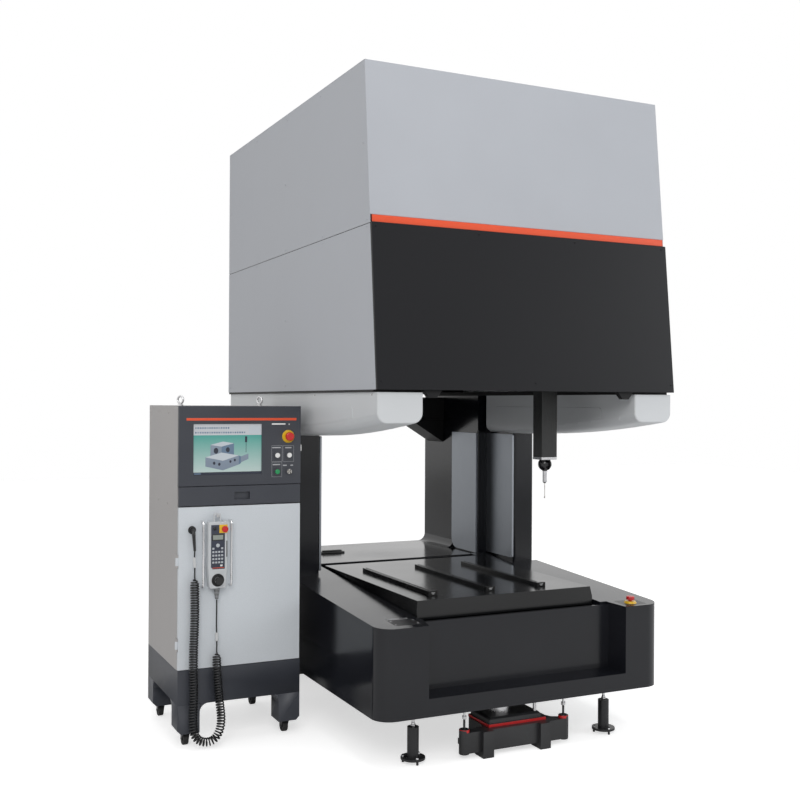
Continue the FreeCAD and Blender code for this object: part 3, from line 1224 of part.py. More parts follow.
def make_push_button(x, height):
    """Push button whose skirt runs in the fascia's bore."""
    body = rod(BUTTON_RADIUS, (x, -BUTTON_PROUD, height), (x, BUTTON_STEM - BUTTON_PROUD, height))
    return body.makeFillet(1.5, [edge for edge in body.Edges if edge.BoundBox.YMax < 1 - BUTTON_PROUD])


def make_key_switch():
    """Turning lock barrel with the key in it."""
    x, height = KEY_SWITCH
    barrel = rod(BUTTON_RADIUS, (x, -6, height), (x, 12, height))
    shank = block((x - 1.5, x + 1.5), (-16, -5), (height - 4, height + 4))
    bow = prism("yz", rectangle((-34, -15), (height - 10, height + 10), 7), x - 1.5, x + 1.5)
    bow = bow.cut(rod(3.5, (x - 3, -27, height), (x + 3, -27, height)))
    return fused([barrel, shank, bow])


def make_drawer():
    """Keyboard drawer: front with a recessed pull, a tray between the runners, and the keyboard."""
    w, s = CABINET_WIDTH, CABINET_SHEET
    z = (DRAWER_BOTTOM + DOOR_GAP, PANEL_BOTTOM)
    front = block((2, w - 2), (0, DOOR_SHEET), z)
    front = front.makeFillet(2, [edge for edge in front.Edges if edge.BoundBox.YMax < 0.1])
    pull = rectangle((PULL_LEFT, PULL_LEFT + PULL_WIDTH), (PULL_BOTTOM, PULL_BOTTOM + PULL_HEIGHT), 3)
    front = front.cut(prism("xz", pull, -1, PULL_DEPTH))
    inner = s + RUNNER_WIDTH
    floor = DRAWER_BOTTOM + s + 2
    y = (DOOR_SHEET, DRAWER_DEPTH)
    outer = block((inner, w - inner), y, (floor, floor + DRAWER_WALL_HEIGHT))
    side = DRAWER_SIDE
    hollow = block((inner + side, w - inner - side), (y[0] + side, y[1] - side),
                   (floor + side, floor + DRAWER_WALL_HEIGHT + 1))
    tray = fused([front, outer.cut(hollow)])
    middle = w / 2
    start, rest = y[0] + 60, floor + side
    keyboard = block((middle - KEYBOARD_WIDTH / 2, middle + KEYBOARD_WIDTH / 2),
                     (start, start + KEYBOARD_DEPTH), (rest, rest + KEYBOARD_HEIGHT))
    keyboard = keyboard.makeFillet(3, [edge for edge in keyboard.Edges if edge.BoundBox.ZLength > 5])
    return group([tray, keyboard])


def make_eye(x, y):
    """Lifting eye bolt: shoulder on the roof and a ring."""
    base = CABINET_HEIGHT
    shoulder = rod(EYE_SHOULDER, (x, y, base), (x, y, base + 6))
    neck = rod(EYE_WIRE + 1, (x, y, base + 5), (x, y, base + 12))
    ring = Part.makeTorus(EYE_RING, EYE_WIRE, Vector(x, y, base + 10 + EYE_RING), Vector(1, 0.6, 0))
    return fused([shoulder, neck, ring])


def caster_spots():
    w, d = CABINET_WIDTH, CABINET_DEPTH
    left, right = CASTER_INSET_X, w - CASTER_INSET_X
    front, rear = CASTER_INSET_Y, d - CASTER_INSET_Y
    return {"front_left": (left, front), "front_right": (right, front),
            "rear_left": (left, rear), "rear_right": (right, rear)}


def make_fork():
    """Caster fork under the origin: swivel plate, two cheeks and the axle."""
    inner = WHEEL_WIDTH / 2 + 1
    plate_low = LEG_BOTTOM - FORK_PLATE
    plate = rod(FORK_RADIUS, (0, 0, plate_low), (0, 0, LEG_BOTTOM))
    pieces = [plate]
    for x in (inner, -inner - FORK_WALL):
        cheek = [(-12, plate_low + 1), (14, plate_low + 1), (CASTER_TRAIL + 9, WHEEL_RADIUS, 6),
                 (CASTER_TRAIL + 6, WHEEL_RADIUS - 10, 6), (CASTER_TRAIL - 8, WHEEL_RADIUS - 10, 6)]
        pieces.append(prism("yz", cheek, x, x + FORK_WALL))
    reach = inner + FORK_WALL + 2
    pieces.append(rod(AXLE_RADIUS, (-reach, CASTER_TRAIL, WHEEL_RADIUS),
                      (reach, CASTER_TRAIL, WHEEL_RADIUS)))
    return fused(pieces)


def make_wheel():
    """Caster wheel: a tread with a recessed hub on each side."""
    half, r = WHEEL_WIDTH / 2, WHEEL_RADIUS
    bore = AXLE_RADIUS + PIN_GAP
    points = [(bore, -half), (bore + 5, -half), (bore + 6, -half + 3), (r - 8, -half + 3), (r - 7, -half),
              (r - 2, -half), (r, -half + 3), (r, half - 3), (r - 2, half), (r - 7, half), (r - 8, half - 3),
              (bore + 6, half - 3), (bore + 5, half), (bore, half), (bore, -half)]
    face = Part.Face(Part.makePolygon([Vector(x, 0, radius) for radius, x in points]))
    wheel = face.revolve(Vector(0, 0, 0), Vector(1, 0, 0), 360)
    return placed(wheel, (0, CASTER_TRAIL, WHEEL_RADIUS))


# ---------------------------------------------------------------- hand pendant
def make_holder():
    """On the door: the hook peg and a guard bar on each side of the pendant."""
    hook_z = PENDANT_TOP + BAIL_HEIGHT - BAIL_WIRE * 2 - HOOK_RADIUS - TOUCH_GAP
    middle = (PENDANT_BACK + PENDANT_FACE) / 2
    peg = rod(HOOK_RADIUS, (PENDANT_X, 0, hook_z), (PENDANT_X, middle - 9, hook_z))
    knob = rod(HOOK_RADIUS + 2, (PENDANT_X, middle - 12, hook_z), (PENDANT_X, middle - 9, hook_z))
    pieces = [fused([peg, knob])]
    y, r = -GUARD_STAND_OFF, GUARD_RADIUS
    for x in (PENDANT_X - GUARD_OUT, PENDANT_X + GUARD_OUT):
        high, low = PENDANT_TOP + 2, PENDANT_BOTTOM + 8
        spine = Part.Wire([Part.LineSegment(Vector(x, 0, low), Vector(x, y + 12, low)).toShape(),
                           Part.Arc(Vector(x, y + 12, low), Vector(x, y + 3.5, low + 3.5),
                                    Vector(x, y, low + 12)).toShape(),
                           Part.LineSegment(Vector(x, y, low + 12), Vector(x, y, high - 12)).toShape(),
                           Part.Arc(Vector(x, y, high - 12), Vector(x, y + 3.5, high - 3.5),
                                    Vector(x, y + 12, high)).toShape(),
                           Part.LineSegment(Vector(x, y + 12, high), Vector(x, 0, high)).toShape()])
        section = Part.Wire(Part.makeCircle(r, Vector(x, 0, low), Vector(0, -1, 0)))
        pieces.append(spine.makePipeShell([section], True, False))
    return group(pieces)


def make_pendant():
    """Pendant case with a narrower head, the carrying bail and the cord's strain relief."""
    half, x = PENDANT_WIDTH / 2, PENDANT_X
    top, bottom, c = PENDANT_TOP, PENDANT_BOTTOM, PENDANT_CORNER
    plan = [(x - half + 6, bottom, c), (x + half - 6, bottom, c), (x + half, bottom + 90, 40),
            (x + half, top, c), (x - half, top, c), (x - half, bottom + 90, 40)]
    case = prism("xz", plan, PENDANT_FACE, PENDANT_BACK)
    case = case.makeFillet(5, [edge for edge in case.Edges if edge.BoundBox.YMax < PENDANT_FACE + 0.1])
    spot = (x + PENDANT_STOP_SPOT[0], PENDANT_STOP_SPOT[1])
    stop_bore = rod(PENDANT_STOP_RADIUS / 2 + PIN_GAP, (spot[0], PENDANT_FACE - 1, spot[1]),
                    (spot[0], PENDANT_FACE + 14, spot[1]))
    socket = Part.makeSphere(JOYSTICK_RADIUS * 0.62, Vector(x, PENDANT_FACE + 4, JOYSTICK_HEIGHT))
    case = case.cut([stop_bore, socket])
    middle = (PENDANT_BACK + PENDANT_FACE) / 2
    wire, wide, high = BAIL_WIRE, BAIL_WIDTH / 2, BAIL_HEIGHT
    bail_outer = [(x - wide, top - 4), (x + wide, top - 4), (x + wide, top + high, 12),
                  (x - wide, top + high, 12)]
    thick = 2 * wire
    bail_inner = [(x - wide + thick, top + 0), (x + wide - thick, top + 0),
                  (x + wide - thick, top + high - thick, 6), (x - wide + thick, top + high - thick, 6)]
    bail = prism("xz", bail_outer, middle - wire, middle + wire).cut(
        prism("xz", bail_inner, middle - wire - 1, middle + wire + 1))
    relief = Part.makeCone(RELIEF_TOP_RADIUS, CORD_RADIUS + 3, RELIEF_LENGTH, Vector(x, middle, bottom),
                           Vector(0, 0, -1))
    return fused([case, bail, relief])


def make_pendant_stop():
    x, z = PENDANT_X + PENDANT_STOP_SPOT[0], PENDANT_STOP_SPOT[1]
    front = PENDANT_FACE - PENDANT_STOP_HEIGHT
    gap = PENDANT_STOP_TRAVEL + 0.5
    cap = rod(PENDANT_STOP_RADIUS, (x, front, z), (x, PENDANT_FACE - gap, z))
    cap = cap.makeFillet(3, [edge for edge in cap.Edges if edge.BoundBox.YMax < front + 0.1])
    stem = rod(PENDANT_STOP_RADIUS / 2, (x, PENDANT_FACE - gap, z), (x, PENDANT_FACE + 10, z))
    return fused([cap, stem])


def make_joystick():
    """Ball pivot in the case's socket, stick and flared cap."""
    x, y, z = PENDANT_X, PENDANT_FACE + 4, JOYSTICK_HEIGHT
    ball = Part.makeSphere(JOYSTICK_RADIUS * 0.62 - TOUCH_GAP, Vector(x, y, z))
    stick = rod(JOYSTICK_STICK, (x, y, z), (x, y - JOYSTICK_LENGTH, z))
    cap = Part.makeCone(JOYSTICK_RADIUS * 0.6, JOYSTICK_RADIUS * 0.85, 9,
                        Vector(x, y - JOYSTICK_LENGTH + 3, z), Vector(0, -1, 0))
    return fused([ball, stick, cap])


def make_connector():
    """Round socket on the door and the plug whose boot bends down to the cord."""
    x, z = SOCKET
    flange = rod(SOCKET_RADIUS, (x, 0, z), (x, -4, z))
    nut = rod(SOCKET_RADIUS - 4, (x, -4, z), (x, -14, z))
    end = LEAD_TO_SOCKET[-1]
    low = end[2]
    turn = 17
    boot_y = end[1]
    straight = Vector(x, -12, z)
    knee = Vector(x, boot_y + turn, z)
    spine = Part.Wire([Part.LineSegment(straight, knee + Vector(0, 1, 0)).toShape(),
                       Part.LineSegment(knee + Vector(0, 1, 0), knee).toShape(),
                       Part.Arc(knee, Vector(x, boot_y + turn * 0.293, z - turn * 0.293),
                                Vector(x, boot_y, z - turn)).toShape()])
    section = Part.Wire(Part.makeCircle(7.5, straight, Vector(0, -1, 0)))
    elbow = spine.makePipeShell([section], True, False)
    top = Part.Wire(Part.makeCircle(7.5, Vector(x, boot_y, z - turn), Vector(0, 0, -1)))
    bottom = Part.Wire(Part.makeCircle(5.5, Vector(end[0], boot_y, low), Vector(0, 0, -1)))
    boot = Part.makeLoft([top, bottom], True, True)
    return fused([flange, nut, elbow, boot])


# ---------------------------------------------------------------- assembly
def build_machine():
    nodes["base_casting"] = make_base_fittings(make_base())
    nodes["rear_deck"] = make_deck()
    nodes["measuring_table"] = make_table()
    nodes["fixture_rails"] = make_fixture_rails()
    for name, inner, turned in (("column_right", COLUMN_INNER_RIGHT, False),
                                ("column_left", COLUMN_INNER_LEFT, True)):
        pieces = [make_column(inner), make_column_foot()] + make_trims(inner)
        nodes[name] = group(mirrored(piece) if turned else piece for piece in pieces)
    nodes["side_beams"] = group(both_sides(make_side_beam()))
    nodes["beam_cover_right"] = make_beam_cover(COVER_SHIFT_RIGHT, COLUMN_INNER_RIGHT)
    nodes["beam_cover_left"] = mirrored(make_beam_cover(0, COLUMN_INNER_LEFT))
    nodes["rear_cross_beam"] = make_cross_beam()
    guide = make_guide(GUIDE_HEIGHT, GUIDE_WIDTH, Y_GUIDE_END - Y_GUIDE_START)
    guide.translate(Vector(Y_GUIDE_X, Y_GUIDE_START, FLANGE_TOP))
    nodes["y_guide_rails"] = group(both_sides(guide))
    make_enclosure()
    nodes["bridge_beam"] = make_bridge()
    wide = make_guide_block(GUIDE_HEIGHT, GUIDE_WIDTH, BLOCK_WIDTH, BLOCK_LENGTH, BLOCK_TOP, BLOCK_STANDOFF)
    nodes["y_bearing_blocks"] = group(placed(wide, (x, y, FLANGE_TOP)) for x, y in y_block_spots())
    cross_guide = make_guide(GUIDE_HEIGHT, GUIDE_WIDTH, 2 * X_GUIDE_HALF_LENGTH)
    turns = (((0, 0, 1), -90), ((1, 0, 0), 90))
    levels = sorted({z for x, z in x_block_spots()})
    start = -X_GUIDE_HALF_LENGTH
    nodes["x_guide_rails"] = group(placed(cross_guide, (start, X_FACE, z), turns) for z in levels)
    nodes["x_carriage"] = make_carriage()
    nodes["carriage_bearing_blocks"] = make_carriage_blocks()
    nodes["z_drive_unit"] = make_drive()
    nodes["z_ram"] = make_ram()
    nodes["ram_end_plate"] = make_end_plate()
    nodes["head_rotor"] = make_head_rotor()
    nodes["head_tilt"] = make_head_tilt()
    nodes["touch_probe"] = make_probe()
    nodes["stylus"] = make_stylus()
    nodes["safety_feet"] = group(make_foot(x, y) for x in (-FOOT_X, FOOT_X) for y in FOOT_YS)
    spots = ((CRADLE_X, CRADLE_FRONT), (-REAR_CRADLE_X, REAR_CRADLE_Y), (REAR_CRADLE_X, REAR_CRADLE_Y))
    nodes["isolators"] = group(piece for spot in spots for piece in make_cradle(*spot))


def build_cabinet():
    nodes["cabinet_plinth"] = in_cabinet(make_plinth())
    nodes["cabinet_shell"] = in_cabinet(make_shell())
    nodes["cabinet_door"] = in_cabinet(make_door())
    nodes["control_panel"] = in_cabinet(make_control_panel())
    nodes["display_screen"] = in_cabinet(make_screen())
    spot = (CABINET_STOP[0], 0, CABINET_STOP[1])
    button = stop_button(COLLAR_HEIGHT + STOP_CAP_GAP)
    nodes["cabinet_stop_button"] = in_cabinet(placed(button, spot, FRONT_FACING))
    for name, (x, height) in BUTTONS.items():
        nodes[name] = in_cabinet(make_push_button(x, height))
    nodes["key_switch"] = in_cabinet(make_key_switch())
    nodes["keyboard_drawer"] = in_cabinet(make_drawer())
    nodes["lifting_eyes"] = in_cabinet(group(make_eye(x, y) for x, y in EYE_SPOTS))
    for name, (x, y) in caster_spots().items():
        nodes["caster_fork_" + name] = in_cabinet(placed(make_fork(), (x, y, 0)))
        nodes["caster_wheel_" + name] = in_cabinet(placed(make_wheel(), (x, y, 0)))
    nodes["pendant_holder"] = in_cabinet(make_holder())
    nodes["pendant_body"] = in_cabinet(make_pendant())
    nodes["pendant_stop_button"] = in_cabinet(make_pendant_stop())
    nodes["joystick"] = in_cabinet(make_joystick())
    nodes["cord_connector"] = in_cabinet(make_connector())
    cord = [tube(CORD_RADIUS, LEAD_TO_COIL), tube(COIL_RADIUS, COIL_ROUTE),
            tube(CORD_RADIUS, LEAD_TO_SOCKET)]
    nodes["pendant_cord"] = in_cabinet(group(cord))


CORD_NODES = ("pendant_cord", "cord_connector")


def floor_centre():
    """Middle of the whole set on the floor, without the cord."""
    box = FreeCAD.BoundBox()
    for name, shape in nodes.items():
        if name not in CORD_NODES:
            box.add(shape.optimalBoundingBox(False, False))
    return Vector(box.Center.x, box.Center.y, box.ZMin)


build_machine()
build_cabinet()
origin = floor_centre()
print("origin", origin.x, origin.y, origin.z, "nodes", len(nodes))
os.makedirs("parts", exist_ok=True)
for node, solid in nodes.items():
    solid.translate(origin * -1)
    solid.exportStep(f"parts/{node}.step")
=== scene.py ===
import bpy, bmesh, json, math
from mathutils import Matrix, Vector

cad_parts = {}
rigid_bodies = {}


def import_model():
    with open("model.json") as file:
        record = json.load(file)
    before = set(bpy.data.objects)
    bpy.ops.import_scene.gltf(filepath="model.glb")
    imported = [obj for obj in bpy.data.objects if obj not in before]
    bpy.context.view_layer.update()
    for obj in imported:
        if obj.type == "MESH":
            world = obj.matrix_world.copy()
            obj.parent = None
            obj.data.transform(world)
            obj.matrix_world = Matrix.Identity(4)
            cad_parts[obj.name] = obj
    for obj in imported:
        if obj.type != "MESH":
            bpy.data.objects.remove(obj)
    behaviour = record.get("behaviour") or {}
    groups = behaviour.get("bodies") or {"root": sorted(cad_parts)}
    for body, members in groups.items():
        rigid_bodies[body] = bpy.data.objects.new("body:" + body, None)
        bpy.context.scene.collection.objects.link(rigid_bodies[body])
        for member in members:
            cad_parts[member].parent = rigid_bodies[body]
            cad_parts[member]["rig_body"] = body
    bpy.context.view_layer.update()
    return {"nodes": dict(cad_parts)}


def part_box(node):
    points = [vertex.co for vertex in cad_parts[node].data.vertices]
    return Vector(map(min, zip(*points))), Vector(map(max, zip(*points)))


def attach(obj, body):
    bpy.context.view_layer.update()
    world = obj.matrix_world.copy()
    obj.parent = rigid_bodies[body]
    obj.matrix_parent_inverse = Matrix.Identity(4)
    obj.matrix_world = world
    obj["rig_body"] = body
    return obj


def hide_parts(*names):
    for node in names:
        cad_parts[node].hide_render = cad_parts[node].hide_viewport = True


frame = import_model()
nodes = frame["nodes"]
mm = 0.001

# sizes below are in millimetres: the machine's from its own middle plane,
# the cabinet's from its front left corner
roofLow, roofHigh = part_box("roof_and_rear_panels")
plinthLow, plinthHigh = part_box("cabinet_plinth")
machineOrigin = Vector(((roofLow.x + roofHigh.x) / 2, roofHigh.y - 1.895, 0))
cabinetOrigin = Vector((plinthLow.x, plinthLow.y, 0))


def atMachine(x, y, z):
    return machineOrigin + Vector((x, y, z)) * mm


def atCabinet(x, y, z):
    return cabinetOrigin + Vector((x, y, z)) * mm


# camera
view = {"place": (-2446.76, -3907.93, 1500.0), "yaw": 25.650, "pitch": 0.1258, "roll": 0.3073,
        "focal": 47.493, "sensor": 36.0}


def makeCamera():
    yaw, pitch, roll = (math.radians(view[k]) for k in ("yaw", "pitch", "roll"))
    ahead = Vector((math.sin(yaw) * math.cos(pitch), math.cos(yaw) * math.cos(pitch), math.sin(pitch)))
    right = Vector((math.cos(yaw), -math.sin(yaw), 0))
    up = right.cross(ahead)
    right, up = (right * math.cos(roll) + up * math.sin(roll), up * math.cos(roll) - right * math.sin(roll))
    data = bpy.data.cameras.new("studioCamera")
    data.lens, data.sensor_width = view["focal"], view["sensor"]
    data.clip_end = 60
    camera = bpy.data.objects.new("studioCamera", data)
    turn = Matrix((right, up, -ahead)).transposed()
    camera.matrix_world = Matrix.Translation(atMachine(*view["place"])) @ turn.to_4x4()
    bpy.context.scene.collection.objects.link(camera)
    bpy.context.scene.camera = camera


makeCamera()
print("camera set")


# shader expressions
class Value:
    # one socket; arithmetic on it adds Math nodes to its material
    def __init__(self, paint, socket):
        self.paint, self.socket = paint, socket

    def math(self, operation, *others):
        return self.paint.node("Math", {"operation": operation}, self, *others)

    def __add__(self, other): return self.math("ADD", other)
    def __radd__(self, other): return self.math("ADD", other)
    def __sub__(self, other): return self.math("SUBTRACT", other)
    def __mul__(self, other): return self.math("MULTIPLY", other)
    def __rmul__(self, other): return self.math("MULTIPLY", other)
    def __rsub__(self, other): return self.paint.node("Math", {"operation": "SUBTRACT"}, other, self)


class Paint:
    # a node material with a Principled shader at its end
    def __init__(self, name, colour, roughness=0.5, metallic=0.0, **fixed):
        self.material = bpy.data.materials.new(name)
        self.material.use_nodes = True
        self.tree = self.material.node_tree
        self.shader = self.tree.nodes["Principled BSDF"]
        self.put("Base Color", colour)
        self.put("Roughness", roughness)
        self.put("Metallic", metallic)
        for socket, value in fixed.items():
            self.put(socket.replace("_", " "), value)

    def put(self, socket, value):
        self.link(self.shader.inputs[socket], value)
        return self

    def link(self, socket, value):
        if isinstance(value, Value):
            self.tree.links.new(value.socket, socket)
        elif socket.type == "RGBA" and len(value) == 3:
            socket.default_value = (*value, 1)
        else:
            socket.default_value = value

    def node(self, kind, settings, *values, out=0, **named):
        made = self.tree.nodes.new("ShaderNode" + kind)
        for key, value in settings.items():
            if key == "stops":
                ramp = made.color_ramp
                for index, (position, colour) in enumerate(value):
                    stop = ramp.elements[index] if index < 2 else ramp.elements.new(position)
                    stop.position, stop.color = position, (*colour, 1)
            else:
                setattr(made, key, value)
        for index, value in enumerate(values):
            self.link(made.inputs[index], value)
        for key, value in named.items():
            self.link(made.inputs[key], value)
        return Value(self, made.outputs[out])

    def place(self, scale=(1, 1, 1), turn=(0, 0, 0), shift=(0, 0, 0)):
        at = self.node("TexCoord", {}, out="Object")
        return self.node("Mapping", {}, at, Scale=scale, Rotation=turn, Location=shift)

    def noise(self, scale, detail=2.0, stretch=(1, 1, 1), roughness=0.5):
        return self.node("TexNoise", {}, Vector=self.place(stretch), Scale=scale, Detail=detail,
                         Roughness=roughness)

    def axis(self, index):
        # millimetres along one axis of the set
        split = self.node("SeparateXYZ", {}, self.node("TexCoord", {}, out="Object"), out=index)
        return split * 1000.0

    def ramp(self, value, *stops):
        return self.node("ValToRGB", {"stops": stops}, value)

    def mix(self, share, first, second):
        made = self.tree.nodes.new("ShaderNodeMix")
        made.data_type = "RGBA"
        self.link(made.inputs[0], share)
        self.link(made.inputs[6], first)
        self.link(made.inputs[7], second)
        return Value(self, made.outputs[2])

    def range(self, value, low, high, toLow, toHigh):
        return self.node("MapRange", {}, value, low, high, toLow, toHigh)

    def bump(self, height, distance, strength=1.0):
        self.put("Normal", self.node("Bump", {}, Height=height, Distance=distance, Strength=strength))
        return self


# paints and finishes
def shade(colour, share, more=0.0):
    return tuple(c * share + more for c in colour)


def castingPaint(name, colour, roughness=0.24):
    # thick gloss enamel over a casting: slow waves, fine orange peel, a little dust
    paint = Paint(name, colour, roughness, 0.0, Specular_IOR_Level=0.40)
    waves = paint.noise(2.2, 2)
    peel = paint.noise(420, 2)
    dust = paint.range(paint.noise(900, 1), 0.66, 0.74, 0.0, 1.0)
    tone = paint.range(waves, 0.3, 0.7, 0.0, 1.0)
    enamel = paint.mix(tone, shade(colour, 0.9), shade(colour, 1.12, 0.002))
    paint.put("Base Color", paint.mix(dust * 0.05, enamel, (0.1, 0.1, 0.105)))
    paint.put("Roughness", paint.range(waves, 0.3, 0.7, roughness - 0.03, roughness + 0.05) + dust * 0.12)
    paint.bump(peel * 0.6 + paint.noise(60, 1) * 0.8, 0.00012, 0.5)
    return paint.material


def sheetPaint(name, colour, roughness=0.42, flake=0.0, peel=0.00006, shine=0.35):
    # sprayed sheet metal: fine peel, faint cloudiness from the spray
    paint = Paint(name, colour, roughness, flake, Specular_IOR_Level=shine)
    cloud = paint.noise(1.6, 3)
    grain = paint.noise(1500, 1)
    tone = paint.range(cloud, 0.35, 0.65, 0.0, 1.0)
    fleck = 0.9 if colour[0] > 0.1 else colour[0] * 2
    soft = paint.mix(tone, shade(colour, 0.975), shade(colour, 1.02))
    paint.put("Base Color", paint.mix(paint.range(grain, 0.4, 0.7, 0.0, 0.05), soft, (fleck, fleck, fleck)))
    paint.put("Roughness", paint.range(cloud, 0.3, 0.7, roughness - 0.03, roughness + 0.04))
    paint.bump(paint.noise(520, 2) + paint.noise(90, 1) * 0.5, peel, 0.6)
    return paint.material


def powderPaint(name, colour, roughness=0.55):
    # stippled powder coat of the cabinet
    paint = Paint(name, colour, roughness)
    stipple = paint.noise(640, 3, roughness=0.6)
    cloud = paint.noise(3.0, 2)
    pits = paint.range(stipple, 0.35, 0.65, 0.0, 1.0)
    coat = paint.mix(pits, shade(colour, 0.94), shade(colour, 1.03))
    paint.put("Base Color", paint.mix(paint.range(cloud, 0.3, 0.7, 0.0, 0.06), coat, (0.3, 0.31, 0.33)))
    paint.put("Roughness", paint.range(stipple, 0.3, 0.7, roughness - 0.08, roughness + 0.06))
    paint.bump(stipple, 0.00022, 0.55)
    return paint.material


def groundMetal(name, colour, roughness=0.3, along=(1, 0.02, 0.02), scale=900, metallic=1.0):
    # grinding or drawing lines that run along one direction
    paint = Paint(name, colour, roughness, metallic)
    lines = paint.noise(scale, 3, stretch=along)
    cloud = paint.noise(14, 2)
    paint.put("Base Color", paint.mix(lines, shade(colour, 0.82), shade(colour, 1.1)))
    paint.put("Roughness", paint.range(lines, 0.3, 0.7, roughness - 0.07, roughness + 0.08) + cloud * 0.06)
    paint.bump(lines, 0.00004, 0.35)
    return paint.material


def moulded(name, colour, roughness=0.35, grain=0.00005, scale=800, **fixed):
    # injection moulded plastic with a fine mould texture
    paint = Paint(name, colour, roughness, 0.0, **fixed)
    texture = paint.noise(scale, 2)
    paint.put("Base Color", paint.mix(paint.noise(30, 2), shade(colour, 0.94), shade(colour, 1.05, 0.002)))
    paint.put("Roughness", paint.range(texture, 0.3, 0.7, roughness - 0.05, roughness + 0.06))
    paint.bump(texture, grain, 0.5)
    return paint.material


def plated(name, colour, roughness=0.12):
    # bright plating with faint wiping marks
    paint = Paint(name, colour, roughness, 1.0)
    marks = paint.noise(70, 4)
    paint.put("Base Color", paint.mix(marks, shade(colour, 0.93), colour))
    paint.put("Roughness", paint.range(marks, 0.35, 0.65, roughness - 0.04, roughness + 0.08))
    paint.bump(marks, 0.00003, 0.2)
    return paint.material


def softRubber(name, colour, roughness=0.6):
    paint = Paint(name, colour, roughness)
    scuff = paint.noise(160, 3)
    worn = paint.range(scuff, 0.45, 0.75, 0.0, 0.35)
    paint.put("Base Color", paint.mix(worn, colour, shade(colour, 1.9, 0.01)))
    paint.put("Roughness", paint.range(scuff, 0.3, 0.7, roughness - 0.08, roughness + 0.1))
    paint.bump(scuff, 0.00008, 0.4)
    return paint.material


def screenGlow(name, low, high, limits=(1191, 1352)):
    # backlit picture area whose colour runs from its foot to its top
    paint = Paint(name, low, 0.25)
    share = paint.range(paint.axis(2), limits[0], limits[1], 0.0, 1.0)
    glow = paint.mix(share, low, high)
    lines = paint.noise(900, 1, stretch=(0.02, 0.02, 1))
    paint.put("Base Color", paint.mix(lines * 0.08, glow, (0.02, 0.02, 0.02)))
    paint.put("Emission Color", glow)
    paint.put("Emission Strength", 0.25)
    paint.bump(lines, 0.00001, 0.2)
    return paint.material


